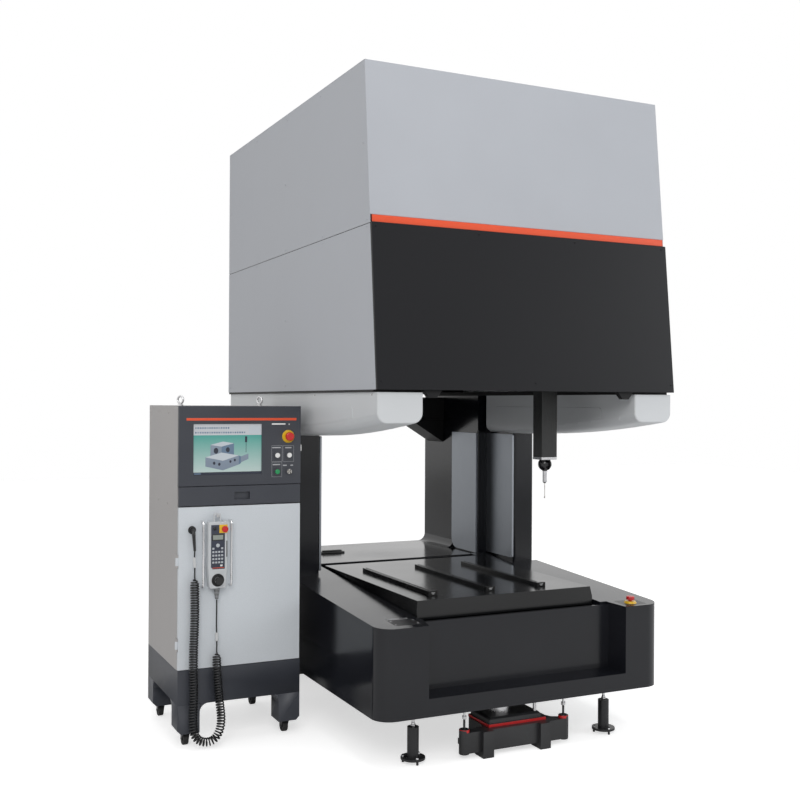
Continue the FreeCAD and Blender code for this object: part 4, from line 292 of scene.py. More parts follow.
finish = {
    "casting": castingPaint("castingEnamel", (0.0065, 0.0072, 0.0105), 0.16),
    "table": castingPaint("tableEnamel", (0.0055, 0.0058, 0.0065), 0.18),
    "railBlack": castingPaint("railBlack", (0.006, 0.006, 0.006), 0.26),
    "plateBlack": powderPaint("plateBlack", (0.010, 0.010, 0.011), 0.38),
    "trimMetal": groundMetal("trimMetal", (0.30, 0.32, 0.35), 0.32, (1, 1, 0.03), 700, 0.8),
    "coverSilver": sheetPaint("beamCoverSilver", (0.66, 0.68, 0.70), 0.40, 0.0, shine=0.3),
    "panelSilver": sheetPaint("enclosureSilver", (0.455, 0.475, 0.515), 0.42, 0.0, shine=0.3),
    "panelDark": sheetPaint("enclosureDark", (0.006, 0.0062, 0.008), 0.46, 0.0, 0.00012, 0.22),
    "stripe": sheetPaint("stripeOrange", (0.80, 0.085, 0.022), 0.40),
    "frameBlack": sheetPaint("frameBlack", (0.010, 0.010, 0.011), 0.5, shine=0.2),
    "guideSteel": groundMetal("guideSteel", (0.55, 0.55, 0.57), 0.24, (1, 1, 0.03)),
    "blockSteel": groundMetal("bearingBlockSteel", (0.34, 0.34, 0.36), 0.34, (1, 0.05, 1)),
    "bridgeAlloy": groundMetal("bridgeAlloy", (0.46, 0.47, 0.49), 0.42, (0.05, 1, 1), 500),
    "ramAlloy": groundMetal("ramAnodised", (0.030, 0.031, 0.031), 0.30, (1, 1, 0.02), 700, 0.3),
    "plateAlloy": groundMetal("endPlateAlloy", (0.62, 0.62, 0.63), 0.26, (1, 0.08, 1)),
    "headBlack": moulded("headBlack", (0.010, 0.010, 0.011), 0.20, 0.00004),
    "probeSteel": groundMetal("probeSteel", (0.62, 0.62, 0.64), 0.16, (1, 1, 0.04), 1800),
    "stylusRod": plated("stylusCarbide", (0.62, 0.60, 0.57), 0.25),
    "supportBlack": powderPaint("supportBlack", (0.010, 0.010, 0.011), 0.36),
    "footSteel": groundMetal("footBlackened", (0.030, 0.030, 0.032), 0.30, (1, 1, 0.1), 900, 0.4),
    "signalRed": moulded("signalRed", (0.60, 0.018, 0.020), 0.22),
    "signalYellow": moulded("signalYellow", (0.83, 0.50, 0.02), 0.28),
    "signalGreen": moulded("signalGreen", (0.015, 0.30, 0.10), 0.18),
    "signalWhite": moulded("signalWhite", (0.86, 0.86, 0.85), 0.22),
    "cabinetGrey": powderPaint("cabinetGrey", (0.44, 0.425, 0.42)),
    "doorGrey": powderPaint("cabinetDoorGrey", (0.68, 0.72, 0.76), 0.5),
    "cabinetDark": powderPaint("cabinetDark", (0.032, 0.036, 0.048), 0.48),
    "forkDark": plated("forkDark", (0.09, 0.09, 0.095), 0.3),
    "zinc": plated("zincPlate", (0.62, 0.62, 0.63), 0.24),
    "chrome": plated("chromePlate", (0.80, 0.80, 0.81), 0.09),
    "casterRubber": softRubber("casterRubber", (0.014, 0.014, 0.015), 0.5),
    "cordBlack": softRubber("cordBlack", (0.008, 0.008, 0.009), 0.38),
    "pendantGrey": moulded("pendantGrey", (0.58, 0.60, 0.62), 0.38),
    "blackPlastic": moulded("blackPlastic", (0.010, 0.010, 0.011), 0.34),
    "keypad": moulded("keypadFoil", (0.030, 0.036, 0.060), 0.32),
    "lcdGrey": moulded("lcdGrey", (0.30, 0.33, 0.30), 0.2),
    "paleKey": moulded("paleKey", (0.50, 0.53, 0.56), 0.3),
    "printWhite": moulded("printWhite", (0.72, 0.73, 0.74), 0.5),
    "printGrey": moulded("printGrey", (0.42, 0.43, 0.45), 0.5),
    "clearSleeve": moulded("clearSleeve", (0.62, 0.63, 0.64), 0.14),
    "nickel": plated("nickelHardware", (0.55, 0.54, 0.52), 0.22),
    "screenTeal": screenGlow("screenTeal", (0.42, 0.52, 0.50), (0.06, 0.30, 0.26)),
    "screenPale": screenGlow("screenPale", (0.50, 0.58, 0.52), (0.50, 0.58, 0.52)),
    "screenGrey": screenGlow("screenGrey", (0.40, 0.42, 0.45), (0.48, 0.50, 0.53)),
    "screenDark": screenGlow("screenDark", (0.020, 0.024, 0.040), (0.020, 0.024, 0.040)),
    "screenBlue": screenGlow("screenBlue", (0.10, 0.15, 0.22), (0.12, 0.18, 0.26)),
    "screenLight": screenGlow("screenLight", (0.46, 0.50, 0.54), (0.46, 0.50, 0.54)),
    "screenSteel": screenGlow("screenSteel", (0.17, 0.21, 0.27), (0.22, 0.27, 0.33)),
}
print("finishes made:", len(finish))


# mesh tools, all in millimetres until a piece is placed
def addBox(bm, low, high, bevel=0.0, skin=0, segments=2):
    low, high = Vector(low), Vector(high)
    made = bmesh.ops.create_cube(bm, size=1.0)
    verts = made["verts"]
    size = high - low
    for v in verts:
        v.co = (low + high) / 2 + Vector((v.co.x * size.x, v.co.y * size.y, v.co.z * size.z))
    faces = {f for v in verts for f in v.link_faces}
    for face in faces:
        face.material_index = skin
    if bevel:
        edges = {e for f in faces for e in f.edges}
        made = bmesh.ops.bevel(bm, geom=list(edges), offset=bevel, segments=segments, profile=0.5,
                               affect="EDGES")
        for face in made["faces"]:
            face.material_index = skin


def frameOf(direction):
    direction = Vector(direction).normalized()
    side = direction.orthogonal().normalized()
    return side, direction.cross(side), direction


def addTurned(bm, start, direction, profile, sides=32, skin=0):
    # profile: (distance along the direction, radius) from end to end; ends at radius 0 close to a point
    start = Vector(start)
    side, other, ahead = frameOf(direction)
    rings = []
    for along, radius in profile:
        centre = start + ahead * along
        if radius < 1e-6:
            rings.append([bm.verts.new(centre)])
            continue
        ring = []
        for i in range(sides):
            turn = 2 * math.pi * i / sides
            ring.append(bm.verts.new(centre + (side * math.cos(turn) + other * math.sin(turn)) * radius))
        rings.append(ring)
    for first, second in zip(rings, rings[1:]):
        for i in range(sides):
            j = (i + 1) % sides
            corners = [ring[k % len(ring)] for ring, k in ((first, i), (first, j), (second, j), (second, i))]
            corners = list(dict.fromkeys(corners))
            if len(corners) > 2:
                bm.faces.new(corners).material_index = skin
    for ring, flip in ((rings[0], True), (rings[-1], False)):
        if len(ring) > 2:
            bm.faces.new(list(reversed(ring)) if flip else ring).material_index = skin


def addRing(bm, start, direction, profile, sides=40, skin=0):
    # closed profile turned round an axis it doesn't touch
    side, other, ahead = frameOf(direction)
    rings = []
    for along, radius in profile:
        centre = Vector(start) + ahead * along
        rings.append([bm.verts.new(centre + (side * math.cos(2 * math.pi * i / sides)
                                             + other * math.sin(2 * math.pi * i / sides)) * radius)
                      for i in range(sides)])
    faces = []
    for first, second in zip(rings, rings[1:] + rings[:1]):
        for i in range(sides):
            j = (i + 1) % sides
            faces.append(bm.faces.new((first[i], first[j], second[j], second[i])))
    for face in faces:
        face.material_index = skin
    bmesh.ops.recalc_face_normals(bm, faces=faces)


def addTube(bm, points, radius, sides=8):
    # round tube through points, its frame carried along without twist
    points = [Vector(p) for p in points]
    count = len(points)
    radii = radius if hasattr(radius, "__len__") else [radius] * count
    rings, side = [], None
    for i, point in enumerate(points):
        before = points[max(i - 1, 0)]
        after = points[min(i + 1, count - 1)]
        ahead = (after - before).normalized()
        side = (ahead.orthogonal() if side is None else side - ahead * side.dot(ahead)).normalized()
        other = ahead.cross(side)
        ring = []
        for k in range(sides):
            turn = 2 * math.pi * k / sides
            ring.append(bm.verts.new(point + (side * math.cos(turn) + other * math.sin(turn)) * radii[i]))
        rings.append(ring)
    for first, second in zip(rings, rings[1:]):
        for k in range(sides):
            j = (k + 1) % sides
            bm.faces.new((first[k], first[j], second[j], second[k]))
    bm.faces.new(list(reversed(rings[0])))
    bm.faces.new(rings[-1])


def addSlab(bm, corners, low, high, plane="xz", skin=0, bevel=0.0):
    # flat outline pulled from one level to the other
    def spot(u, v, level):
        return {"xz": (u, level, v), "yz": (level, u, v)}[plane]
    bottom = [bm.verts.new(spot(u, v, low)) for u, v in corners]
    top = [bm.verts.new(spot(u, v, high)) for u, v in corners]
    faces = [bm.faces.new(bottom), bm.faces.new(list(reversed(top)))]
    count = len(corners)
    for i in range(count):
        j = (i + 1) % count
        faces.append(bm.faces.new((bottom[i], top[i], top[j], bottom[j])))
    for face in faces:
        face.material_index = skin
    bmesh.ops.recalc_face_normals(bm, faces=faces)
    if bevel:
        made = bmesh.ops.bevel(bm, geom=list(faces[1].edges) + list(faces[0].edges), offset=bevel, segments=2,
                               profile=0.5, affect="EDGES")
        for face in made["faces"]:
            face.material_index = skin


def roundedCorners(u, v, radius, steps=5):
    low, high = (u[0] + radius, v[0] + radius), (u[1] - radius, v[1] - radius)
    corners = []
    for (cu, cv), start in (((high[0], high[1]), 0), ((low[0], high[1]), 90), ((low[0], low[1]), 180),
                            ((high[0], low[1]), 270)):
        for i in range(steps + 1):
            turn = math.radians(start + 90 * i / steps)
            corners.append((cu + radius * math.cos(turn), cv + radius * math.sin(turn)))
    return corners


def ridgeLoop(bm, corners, level, width, height):
    # low rounded ridge round a closed outline on an upright face; a negative height stands out to the front
    section = ((-0.5, 0.0), (-0.32, 0.8), (0.0, 1.0), (0.32, 0.8), (0.5, 0.0))
    count = len(corners)
    loops = []
    for i, (u, v) in enumerate(corners):
        before, after = Vector(corners[i - 1]), Vector(corners[(i + 1) % count])
        along = (after - before).normalized() * width
        loops.append([bm.verts.new((u + along.y * s, level + height * h, v - along.x * s)) for s, h in section])
    faces = []
    for first, second in zip(loops, loops[1:] + loops[:1]):
        for k in range(-1, len(section) - 1):
            faces.append(bm.faces.new((first[k], first[k + 1], second[k + 1], second[k])))
    bmesh.ops.recalc_face_normals(bm, faces=faces)


def setPiece(name, bm, paints, body, origin=None, smooth=32):
    # millimetres become metres at the given origin; then the piece rides on its body
    if origin is not None:
        bmesh.ops.transform(bm, matrix=Matrix.Translation(origin) @ Matrix.Scale(mm, 4), verts=bm.verts)
    mesh = bpy.data.meshes.new(name)
    bm.to_mesh(mesh)
    bm.free()
    return setMesh(name, mesh, paints, body, smooth)


def setMesh(name, mesh, paints, body, smooth=32):
    if smooth:
        mesh.shade_smooth()
        mesh.set_sharp_from_angle(angle=math.radians(smooth))
    if paints:
        for paint in (paints if isinstance(paints, (list, tuple)) else [paints]):
            mesh.materials.append(finish[paint] if isinstance(paint, str) else paint)
    piece = bpy.data.objects.new(name, mesh)
    bpy.context.scene.collection.objects.link(piece)
    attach(piece, body)
    return piece


def camel(node):
    first, *rest = node.split("_")
    return first + "".join(word.capitalize() for word in rest)


def dress(node, paints, bevel=1.5, segments=2, sharp=34, skin=None, origin=machineOrigin):
    # the CAD node's own shape with its edges broken, standing for the node
    # skin gives a face's paint from its centre in millimetres and its normal
    source = nodes[node]
    bm = bmesh.new()
    bm.from_mesh(source.data)
    bmesh.ops.remove_doubles(bm, verts=bm.verts, dist=2e-6)
    bmesh.ops.dissolve_limit(bm, angle_limit=math.radians(0.6), verts=bm.verts, edges=bm.edges,
                             delimit={"NORMAL"})
    bm.normal_update()
    for face in bm.faces:
        face.material_index = int(skin((face.calc_center_median() - origin) / mm, face.normal)) if skin else 0
    mesh = bpy.data.meshes.new(camel(node) + "Raw")
    bm.to_mesh(mesh)
    bm.free()
    mesh.shade_smooth()
    shape = bpy.data.objects.new(camel(node) + "Raw", mesh)
    bpy.context.scene.collection.objects.link(shape)
    modifier = shape.modifiers.new("edges", "BEVEL")
    modifier.width, modifier.segments = bevel * mm, segments
    modifier.limit_method, modifier.angle_limit = "ANGLE", math.radians(sharp)
    modifier.use_clamp_overlap = True
    modifier.miter_outer = "MITER_ARC"
    shading = shape.modifiers.new("normals", "WEIGHTED_NORMAL")
    shading.keep_sharp = False
    finished = evaluated(shape)
    finished.name = camel(node) + "Finish"
    piece = setMesh(camel(node) + "Finish", finished, paints, source["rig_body"], None)
    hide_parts(node)
    return piece


def evaluated(shape):
    # the plain mesh that an object's modifiers give; the object goes
    bpy.context.view_layer.update()
    mesh = bpy.data.meshes.new_from_object(shape.evaluated_get(bpy.context.evaluated_depsgraph_get()))
    bpy.data.objects.remove(shape)
    return mesh


def paintNode(node, paint):
    # the CAD node stays and takes a finished paint
    data = nodes[node].data
    data.materials.clear()
    data.materials.append(finish[paint])


# pieces that repeat, set out by Geometry Nodes
class Tree:
    # a node group that sets one shape on marked points
    def __init__(self, name, **inputs):
        self.group = bpy.data.node_groups.new(name, "GeometryNodeTree")
        self.group.interface.new_socket(name="Geometry", in_out="INPUT", socket_type="NodeSocketGeometry")
        self.group.interface.new_socket(name="Geometry", in_out="OUTPUT", socket_type="NodeSocketGeometry")
        for label, kind in inputs.items():
            self.group.interface.new_socket(name=label, in_out="INPUT", socket_type="NodeSocket" + kind)
        self.given = self.group.nodes.new("NodeGroupInput").outputs

    def add(self, kind, settings=None, **values):
        made = self.group.nodes.new(kind)
        for key, value in (settings or {}).items():
            setattr(made, key, value)
        for key, value in values.items():
            socket = made.inputs[key.replace("_", " ")]
            if isinstance(value, bpy.types.NodeSocket):
                self.group.links.new(value, socket)
            else:
                socket.default_value = value
        return made.outputs

    def marked(self, name):
        settings = {"data_type": "FLOAT_VECTOR"}
        return self.add("GeometryNodeInputNamedAttribute", settings, Name=name)["Attribute"]

    def finish(self, shape):
        turn = self.add("FunctionNodeAlignRotationToVector", {"axis": "Z"}, Vector=self.marked("facing"))
        placed = self.add("GeometryNodeInstanceOnPoints", Points=self.given["Geometry"], Instance=shape,
                           Rotation=turn["Rotation"], Scale=self.marked("size"))
        real = self.add("GeometryNodeRealizeInstances", Geometry=placed["Instances"])
        done = self.add("GeometryNodeSetMaterial", Geometry=real["Geometry"], Material=self.given["Finish"])
        end = self.group.nodes.new("NodeGroupOutput")
        self.group.links.new(done["Geometry"], end.inputs["Geometry"])

    def setOut(self, name, spots, paint, body, slot, origin, **values):
        # spots: (place, facing, size) in millimetres
        mesh = bpy.data.meshes.new(name + "Spots")
        mesh.from_pydata([origin + Vector(place) * mm for place, facing, size in spots], [], [])
        for label, index, scale in (("facing", 1, 1.0), ("size", 2, mm)):
            marks = mesh.attributes.new(label, "FLOAT_VECTOR", "POINT")
            marks.data.foreach_set("vector", [c * scale for spot in spots for c in spot[index]])
        holder = bpy.data.objects.new(name + "Spots", mesh)
        bpy.context.scene.collection.objects.link(holder)
        modifier = holder.modifiers.new("setOut", "NODES")
        modifier.node_group = self.group
        sockets = self.group.interface.items_tree
        keys = {socket.name: socket.identifier for socket in sockets if socket.in_out == "INPUT"}
        modifier[keys["Finish"]] = finish[paint]
        for label, value in values.items():
            modifier[keys[label]] = value
        return setMesh(name, evaluated(holder), None, body)


def makeScrewTree():
    # pan head with a pressed hexagon socket, one across and one high
    tree = Tree("screwHeads", Dome="Float", Socket="Float", Finish="Material")
    shaft = tree.add("GeometryNodeMeshCylinder", Vertices=18, Radius=0.5, Depth=1.0)
    dome = tree.add("GeometryNodeExtrudeMesh", Mesh=shaft["Mesh"], Selection=shaft["Top"], Offset_Scale=0.5)
    drawn = tree.add("GeometryNodeScaleElements", Geometry=dome["Mesh"], Selection=dome["Top"],
                     Scale=tree.given["Dome"])
    rim = tree.add("GeometryNodeExtrudeMesh", Mesh=drawn["Geometry"], Selection=dome["Top"], Offset_Scale=0.0)
    mouth = tree.add("GeometryNodeScaleElements", Geometry=rim["Mesh"], Selection=rim["Top"],
                     Scale=tree.given["Socket"])
    sunk = tree.add("GeometryNodeExtrudeMesh", Mesh=mouth["Geometry"], Selection=rim["Top"],
                    Offset_Scale=-0.6)
    tree.finish(sunk["Mesh"])
    return tree


def makeKeyTree():
    # block whose top is smaller than its foot
    tree = Tree("keyBlocks", Top="Float", Finish="Material")
    cube = tree.add("GeometryNodeMeshCube", Size=(1.0, 1.0, 1.0))
    normal = tree.add("ShaderNodeSeparateXYZ", Vector=tree.add("GeometryNodeInputNormal")["Normal"])
    upper = tree.add("FunctionNodeCompare", {"operation": "GREATER_THAN"}, A=normal["Z"], B=0.9)
    drawn = tree.add("GeometryNodeScaleElements", Geometry=cube["Mesh"], Selection=upper["Result"],
                     Scale=tree.given["Top"])
    tree.finish(drawn["Geometry"])
    return tree


screwTree, keyTree = makeScrewTree(), makeKeyTree()


def setScrews(name, spots, paint, body, slot, origin=machineOrigin, across=8.5, high=1.6):
    marks = [(place, facing, (across, across, high)) for place, facing in spots]
    return screwTree.setOut(name, marks, paint, body, slot, origin, Dome=0.78, Socket=0.5)


# pendant cord
cordPoints = {
    "lead": ((163, -26, 641.7), (163, -26, 599.7), (162, -27, 528), (164, -28, 470), (163, -30, 414)),
    "coil": ((165, -29, 330), (178, -27, 195), (188, -26, 120), (180, -26, 66), (152, -26, 30),
             (106, -26, 27), (70, -25, 54), (60, -25, 110), (66, -25, 240), (61, -25, 400), (69, -25, 570), (65, -26, 741)),
    "end": ((66, -27, 785), (62, -29, 826), (64, -31, 857)),
}
cordSize = {"diameter": 6.4, "coilRadius": 16.2, "pitchTop": 11.0, "pitchBottom": 12.5, "sides": 8,
            "stepsPerTurn": 18, "ramp": 26.0, "ferrule": (499, 460), "sleeve": (831, 783)}


def cordLine():
    # the route's own smooth line, sampled by the curve itself
    data = bpy.data.curves.new("cordRoute", "CURVE")
    data.dimensions = "3D"
    points = [p for part in ("lead", "coil", "end") for p in cordPoints[part]]
    spline = data.splines.new("NURBS")
    spline.points.add(len(points) - 1)
    for spot, point in zip(spline.points, points):
        spot.co = (*atCabinet(*point), 1)
    spline.order_u = 3
    spline.use_endpoint_u = True
    spline.resolution_u = 24
    route = bpy.data.objects.new("cordRoute", data)
    bpy.context.scene.collection.objects.link(route)
    mesh = evaluated(route)
    line = [v.co.copy() for v in mesh.vertices]
    bpy.data.meshes.remove(mesh)
    return line


def makeCord():
    line = cordLine()
    travelled = [0.0]
    for a, b in zip(line, line[1:]):
        travelled.append(travelled[-1] + (b - a).length)

    def at(distance):
        distance = min(max(distance, 0.0), travelled[-1])
        low = 0
        high = len(travelled) - 1
        while high - low > 1:
            middle = (low + high) // 2
            low, high = (middle, high) if travelled[middle] <= distance else (low, middle)
        share = (distance - travelled[low]) / max(travelled[high] - travelled[low], 1e-9)
        return line[low].lerp(line[high], share), (line[high] - line[low]).normalized()

    def nearest(z, after):
        # distance along the line where it first passes a height after a share of its length
        spots = [i for i in range(len(line)) if travelled[i] >= after * travelled[-1]]
        return travelled[min(spots, key=lambda i: abs(line[i].z - z * mm))]

    leadEnd = cordPoints["lead"][-1][2] * mm
    start = travelled[min(range(len(line) // 2), key=lambda i: abs(line[i].z - leadEnd))]
    stop = nearest(cordPoints["coil"][-1][2], 0.7)
    ramp = cordSize["ramp"] * mm
    points, distance, turn = [], 0.0, math.pi / 2
    centre, ahead = at(0)
    side = ahead.orthogonal().normalized()
    while distance < travelled[-1]:
        centre, ahead = at(distance)
        side = (side - ahead * side.dot(ahead)).normalized()
        other = ahead.cross(side)
        grow = min(max((distance - start) / ramp, 0), 1) * min(max((stop - distance) / ramp, 0), 1)
        grow = grow * grow * (3 - 2 * grow)
        radius = cordSize["coilRadius"] * mm * grow
        points.append(centre + (side * math.cos(turn) + other * math.sin(turn)) * radius)
        if start < distance < stop:
            low = min(max((centre.z - 0.05) / 0.4, 0), 1)
            pitch = (cordSize["pitchBottom"] * (1 - low) + cordSize["pitchTop"] * low) * mm
            turn += 2 * math.pi / cordSize["stepsPerTurn"]
            distance += pitch / cordSize["stepsPerTurn"]
        else:
            distance += 0.006
    points.append(line[-1])
    length = sum((b - a).length for a, b in zip(points, points[1:]))
    bm = bmesh.new()
    addTube(bm, points, cordSize["diameter"] * mm / 2, cordSize["sides"])
    cord = setPiece("pendantCord", bm, "cordBlack", "door", smooth=60)
    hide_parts("pendant_cord")
    for name, (high, low), radius, after in (("cordFerrule", cordSize["ferrule"], 7.5, 0.0),
                                             ("cordSleeve", cordSize["sleeve"], 6.5, 0.85)):
        half = len(line) // 2
        spots = range(half) if not after else range(half, len(line))
        run = [line[i] for i in spots if low * mm <= line[i].z <= high * mm]
        bm = bmesh.new()
        addTube(bm, run, [radius * mm * (0.62 if i in (0, len(run) - 1) else 1) for i in range(len(run))], 20)
        setPiece(name, bm, "clearSleeve", "door")
    print("cord made, metres of lead:", round(length, 2))


makeCord()

# machine: castings, covers and panels
trim = {"high": (665, 1331), "front": (961, 1236), "rear": (1236, 1522), "innerRight": (564, 574.5),
        "innerLeft": (535, 545.5), "innerRear": (497, 507.5)}
isolator = {"plate": (112.5, 123.5), "hardware": 151, "footRod": 150.5}


def within(value, limits):
    return limits[0] < value < limits[1]


def trimSkin(at, normal):
    inner = trim["innerRight"] if at.x > 0 else trim["innerLeft"]
    beside = within(at.y, trim["front"]) and within(abs(at.x), inner)
    behind = within(at.y, trim["rear"]) and within(abs(at.x), trim["innerRear"])
    return within(at.z, trim["high"]) and (beside or behind)


def isolatorSkin(at, normal):
    if at.z > isolator["hardware"]:
        return 2
    return within(at.z, isolator["plate"]) and abs(normal.z) < 0.5 and at.y < 300


def footSkin(at, normal):
    return at.z > isolator["footRod"]


for node, paint, bevel, segments, skin in (
        ("base_casting", "casting", 4.5, 3, None), ("rear_deck", "casting", 2.0, 2, None),
        ("measuring_table", "table", 3.0, 3, None), ("fixture_rails", "railBlack", 1.0, 2, None),
        ("column_left", ["casting", "trimMetal"], 3.0, 3, trimSkin),
        ("column_right", ["casting", "trimMetal"], 3.0, 3, trimSkin),
        ("beam_cover_left", "coverSilver", 1.5, 2, None), ("beam_cover_right", "coverSilver", 1.5, 2, None),
        ("side_panels", "panelSilver", 1.5, 2, None), ("front_upper_panel", "panelSilver", 1.5, 2, None),
        ("roof_and_rear_panels", "panelSilver", 1.5, 2, None), ("accent_stripe", "stripe", 1.0, 2, None),
        ("front_lower_panel", "panelDark", 3.0, 3, None),
        ("isolators", ["supportBlack", "signalRed", "zinc"], 1.5, 2, isolatorSkin),
        ("safety_feet", ["footSteel", "zinc"], 1.0, 2, footSkin), ("deck_plates", "plateBlack", 1.0, 2, None),
        ("z_ram", "ramAlloy", 1.5, 2, None), ("ram_end_plate", "plateAlloy", 0.8, 2, None),
        ("bridge_beam", "bridgeAlloy", 1.5, 1, None), ("x_carriage", "bridgeAlloy", 1.5, 1, None),
        ("enclosure_frame", "frameBlack", 1.0, 1, None)):
    dress(node, paint, bevel, segments, skin=skin)
for node, paint, bevel in (("cabinet_plinth", "cabinetDark", 1.5), ("cabinet_shell", "cabinetGrey", 1.2),
                           ("cabinet_door", "doorGrey", 1.0), ("keyboard_drawer", "cabinetDark", 1.0),
                           ("control_panel", "cabinetDark", 1.2), ("pendant_body", "pendantGrey", 2.0)):
    dress(node, paint, bevel, origin=cabinetOrigin)
for paint, dressed in {
        "frameBlack": "side_beams rear_cross_beam",
        "guideSteel": "y_guide_rails x_guide_rails",
        "blockSteel": "y_bearing_blocks carriage_bearing_blocks",
        "bridgeAlloy": "z_drive_unit",
        "headBlack": "head_rotor head_tilt",
        "probeSteel": "touch_probe",
        "stylusRod": "stylus",
        "signalYellow": "stop_collars",
        "signalRed": "base_stop_button cabinet_stop_button pendant_stop_button",
        "signalWhite": "white_button_left white_button_right",
        "signalGreen": "green_button",
        "nickel": "key_switch",
        "blackPlastic": "display_screen cord_connector joystick",
        "zinc": "lifting_eyes",
        "chrome": "pendant_holder"}.items():
    for node in dressed.split():
        paintNode(node, paint)
for corner in ("front_left", "front_right", "rear_left", "rear_right"):
    paintNode("caster_fork_" + corner, "forkDark")
    paintNode("caster_wheel_" + corner, "casterRubber")
print("castings, covers and panels dressed")

# screws of the enclosure, covers and panels
enclosure = {"half": 737, "rear": 1895, "roof": 2889, "slope": 0.097, "proud": 12.2,
             "sideRows": ((2862, (10, 485, 930, 1393, 1862)), (2550, (9, 948, 1861)),
                          (2234, (-33, 457, 943, 1391, 1859)), (2203, (-33, 457, 943, 1391, 1859)),
                          (1889, (-70, 938, 1855)), (1576, (-100, 936, 1855))),
             "rearRows": (2862, 2234, 2203, 1889, 1576), "columns": (-712, -240, 240, 712),
             "roofRows": (30, 930, 1862),
             "darkRows": ((2203, (-718, -244, 237, 712)), (1584, (-718, 1, 722))),
             "coverSpots": ((-69, 1530), (563, 1530)), "coverOuter": (-727, 735)}


def makeEnclosureScrews():
    e = enclosure
    spots = [((side * e["half"], y, z), (side, 0, 0))
             for side in (-1, 1) for z, row in e["sideRows"] for y in row]
    spots += [((x, e["rear"], z), (0, 1, 0)) for z in e["rearRows"] for x in e["columns"]]
    spots += [((x, y, e["roof"]), (0, 0, 1)) for y in e["roofRows"] for x in e["columns"]]
    setScrews("panelScrews", spots, "panelSilver", "machine", "panel_silver")
    dark = []
    for z, row in e["darkRows"]:
        y = -(e["roof"] - z) * e["slope"] - e["proud"]
        dark += [((x, y, z), (0, -1, e["slope"])) for x in row]
    setScrews("darkPanelScrews", dark, "panelDark", "machine", "panel_dark", across=9)
    covers = [((x, y, z), (math.copysign(1, x), 0, 0)) for x in e["coverOuter"] for y, z in e["coverSpots"]]
    setScrews("coverScrews", covers, "nickel", "machine", "zinc", across=8)


makeEnclosureScrews()
print("enclosure screws set")

# base: corner plates, stop blocks, deck fitting and feet
base = {"railFront": -86, "railLow": 590, "railRise": 70 / 1321, "plate": (-545, 0, 118, 90),
        "strip": (-597, -505, 53, 67), "stripHigh": 0.9, "plateInset": (9, 20),
        "marks": ((672.5, 9.0), (667.5, 5.5)), "nutFoot": 151, "boltRing": 42,
        "nut": [(0, 9.5), (1.2, 11), (8, 11), (9.2, 9.5), (12, 9.0), (16, 7.2), (18, 6.1)],
        "railXs": (-325, -36, 232), "stopFront": 165.6, "deck": 655, "fitting": (-300, -160, 1560, 1600),
        "feet": ((-485, 35), (485, 35), (-485, 1790), (485, 1790))}


def railHeight(y):
    return base["railLow"] + (y - base["railFront"]) * base["railRise"]


def makeBaseDetails():
    bm = bmesh.new()
    x0, x1, y0, y1 = base["strip"]
    low, high = railHeight(y0), railHeight(y1)
    top = base["stripHigh"]
    corners = [(y0, low - 0.5), (y1, high - 0.5), (y1, high + top), (y0, low + top)]
    addSlab(bm, corners, x0, x1, "yz", bevel=0.3)
    setPiece("serviceStrip", bm, "plateAlloy", "machine", machineOrigin)
    x, y, wide, deep = base["plate"]
    across, along = wide / 2 - base["plateInset"][0], deep / 2 - base["plateInset"][1]
    spots = [((x + i * across, y + j * along, railHeight(y + j * along) + 0.4), (0, 0, 1))
             for i in (-1, 1) for j in (-1, 1)]
    setScrews("servicePlateScrews", spots, "zinc", "machine", "zinc", across=9, high=1.4)
    bm = bmesh.new()
    for x in base["railXs"]:
        for z, half in base["marks"]:
            front = base["stopFront"]
            addBox(bm, (x - half, front, z - 1.0), (x + half, front + 0.8, z + 1.0))
    setPiece("stopBlockMarks", bm, "printWhite", "machine", machineOrigin)
    bm = bmesh.new()
    x0, x1, y0, y1 = base["fitting"]
    deck = base["deck"]
    addBox(bm, (x0, y0, deck - 1), (x1, y1, deck + 9), 2.0)
    addBox(bm, (x0 + 14, y0 + 10, deck + 8), (x1 - 14, y1 - 10, deck + 17), 2.5)
    setPiece("deckFitting", bm, "plateBlack", "machine", machineOrigin)
    setScrews("deckFittingScrews", [((x, (y0 + y1) / 2, deck + 9), (0, 0, 1)) for x in (x0 + 7, x1 - 7)],
              "zinc", "machine", "zinc", across=8)
    bm = bmesh.new()
    for x, y in base["feet"]:
        addTurned(bm, (x, y, base["nutFoot"]), (0, 0, 1), base["nut"], 6)
    setPiece("footNuts", bm, "zinc", "machine", machineOrigin, smooth=20)
    ring = base["boltRing"]
    bolts = [((x + ring * math.cos(turn), y + ring * math.sin(turn), 25), (0, 0, 1))
             for x, y in base["feet"] for turn in (0.5, 2.6, 4.7)]
    setScrews("footBolts", bolts, "zinc", "machine", "zinc", across=12, high=5)


makeBaseDetails()
print("base details set")

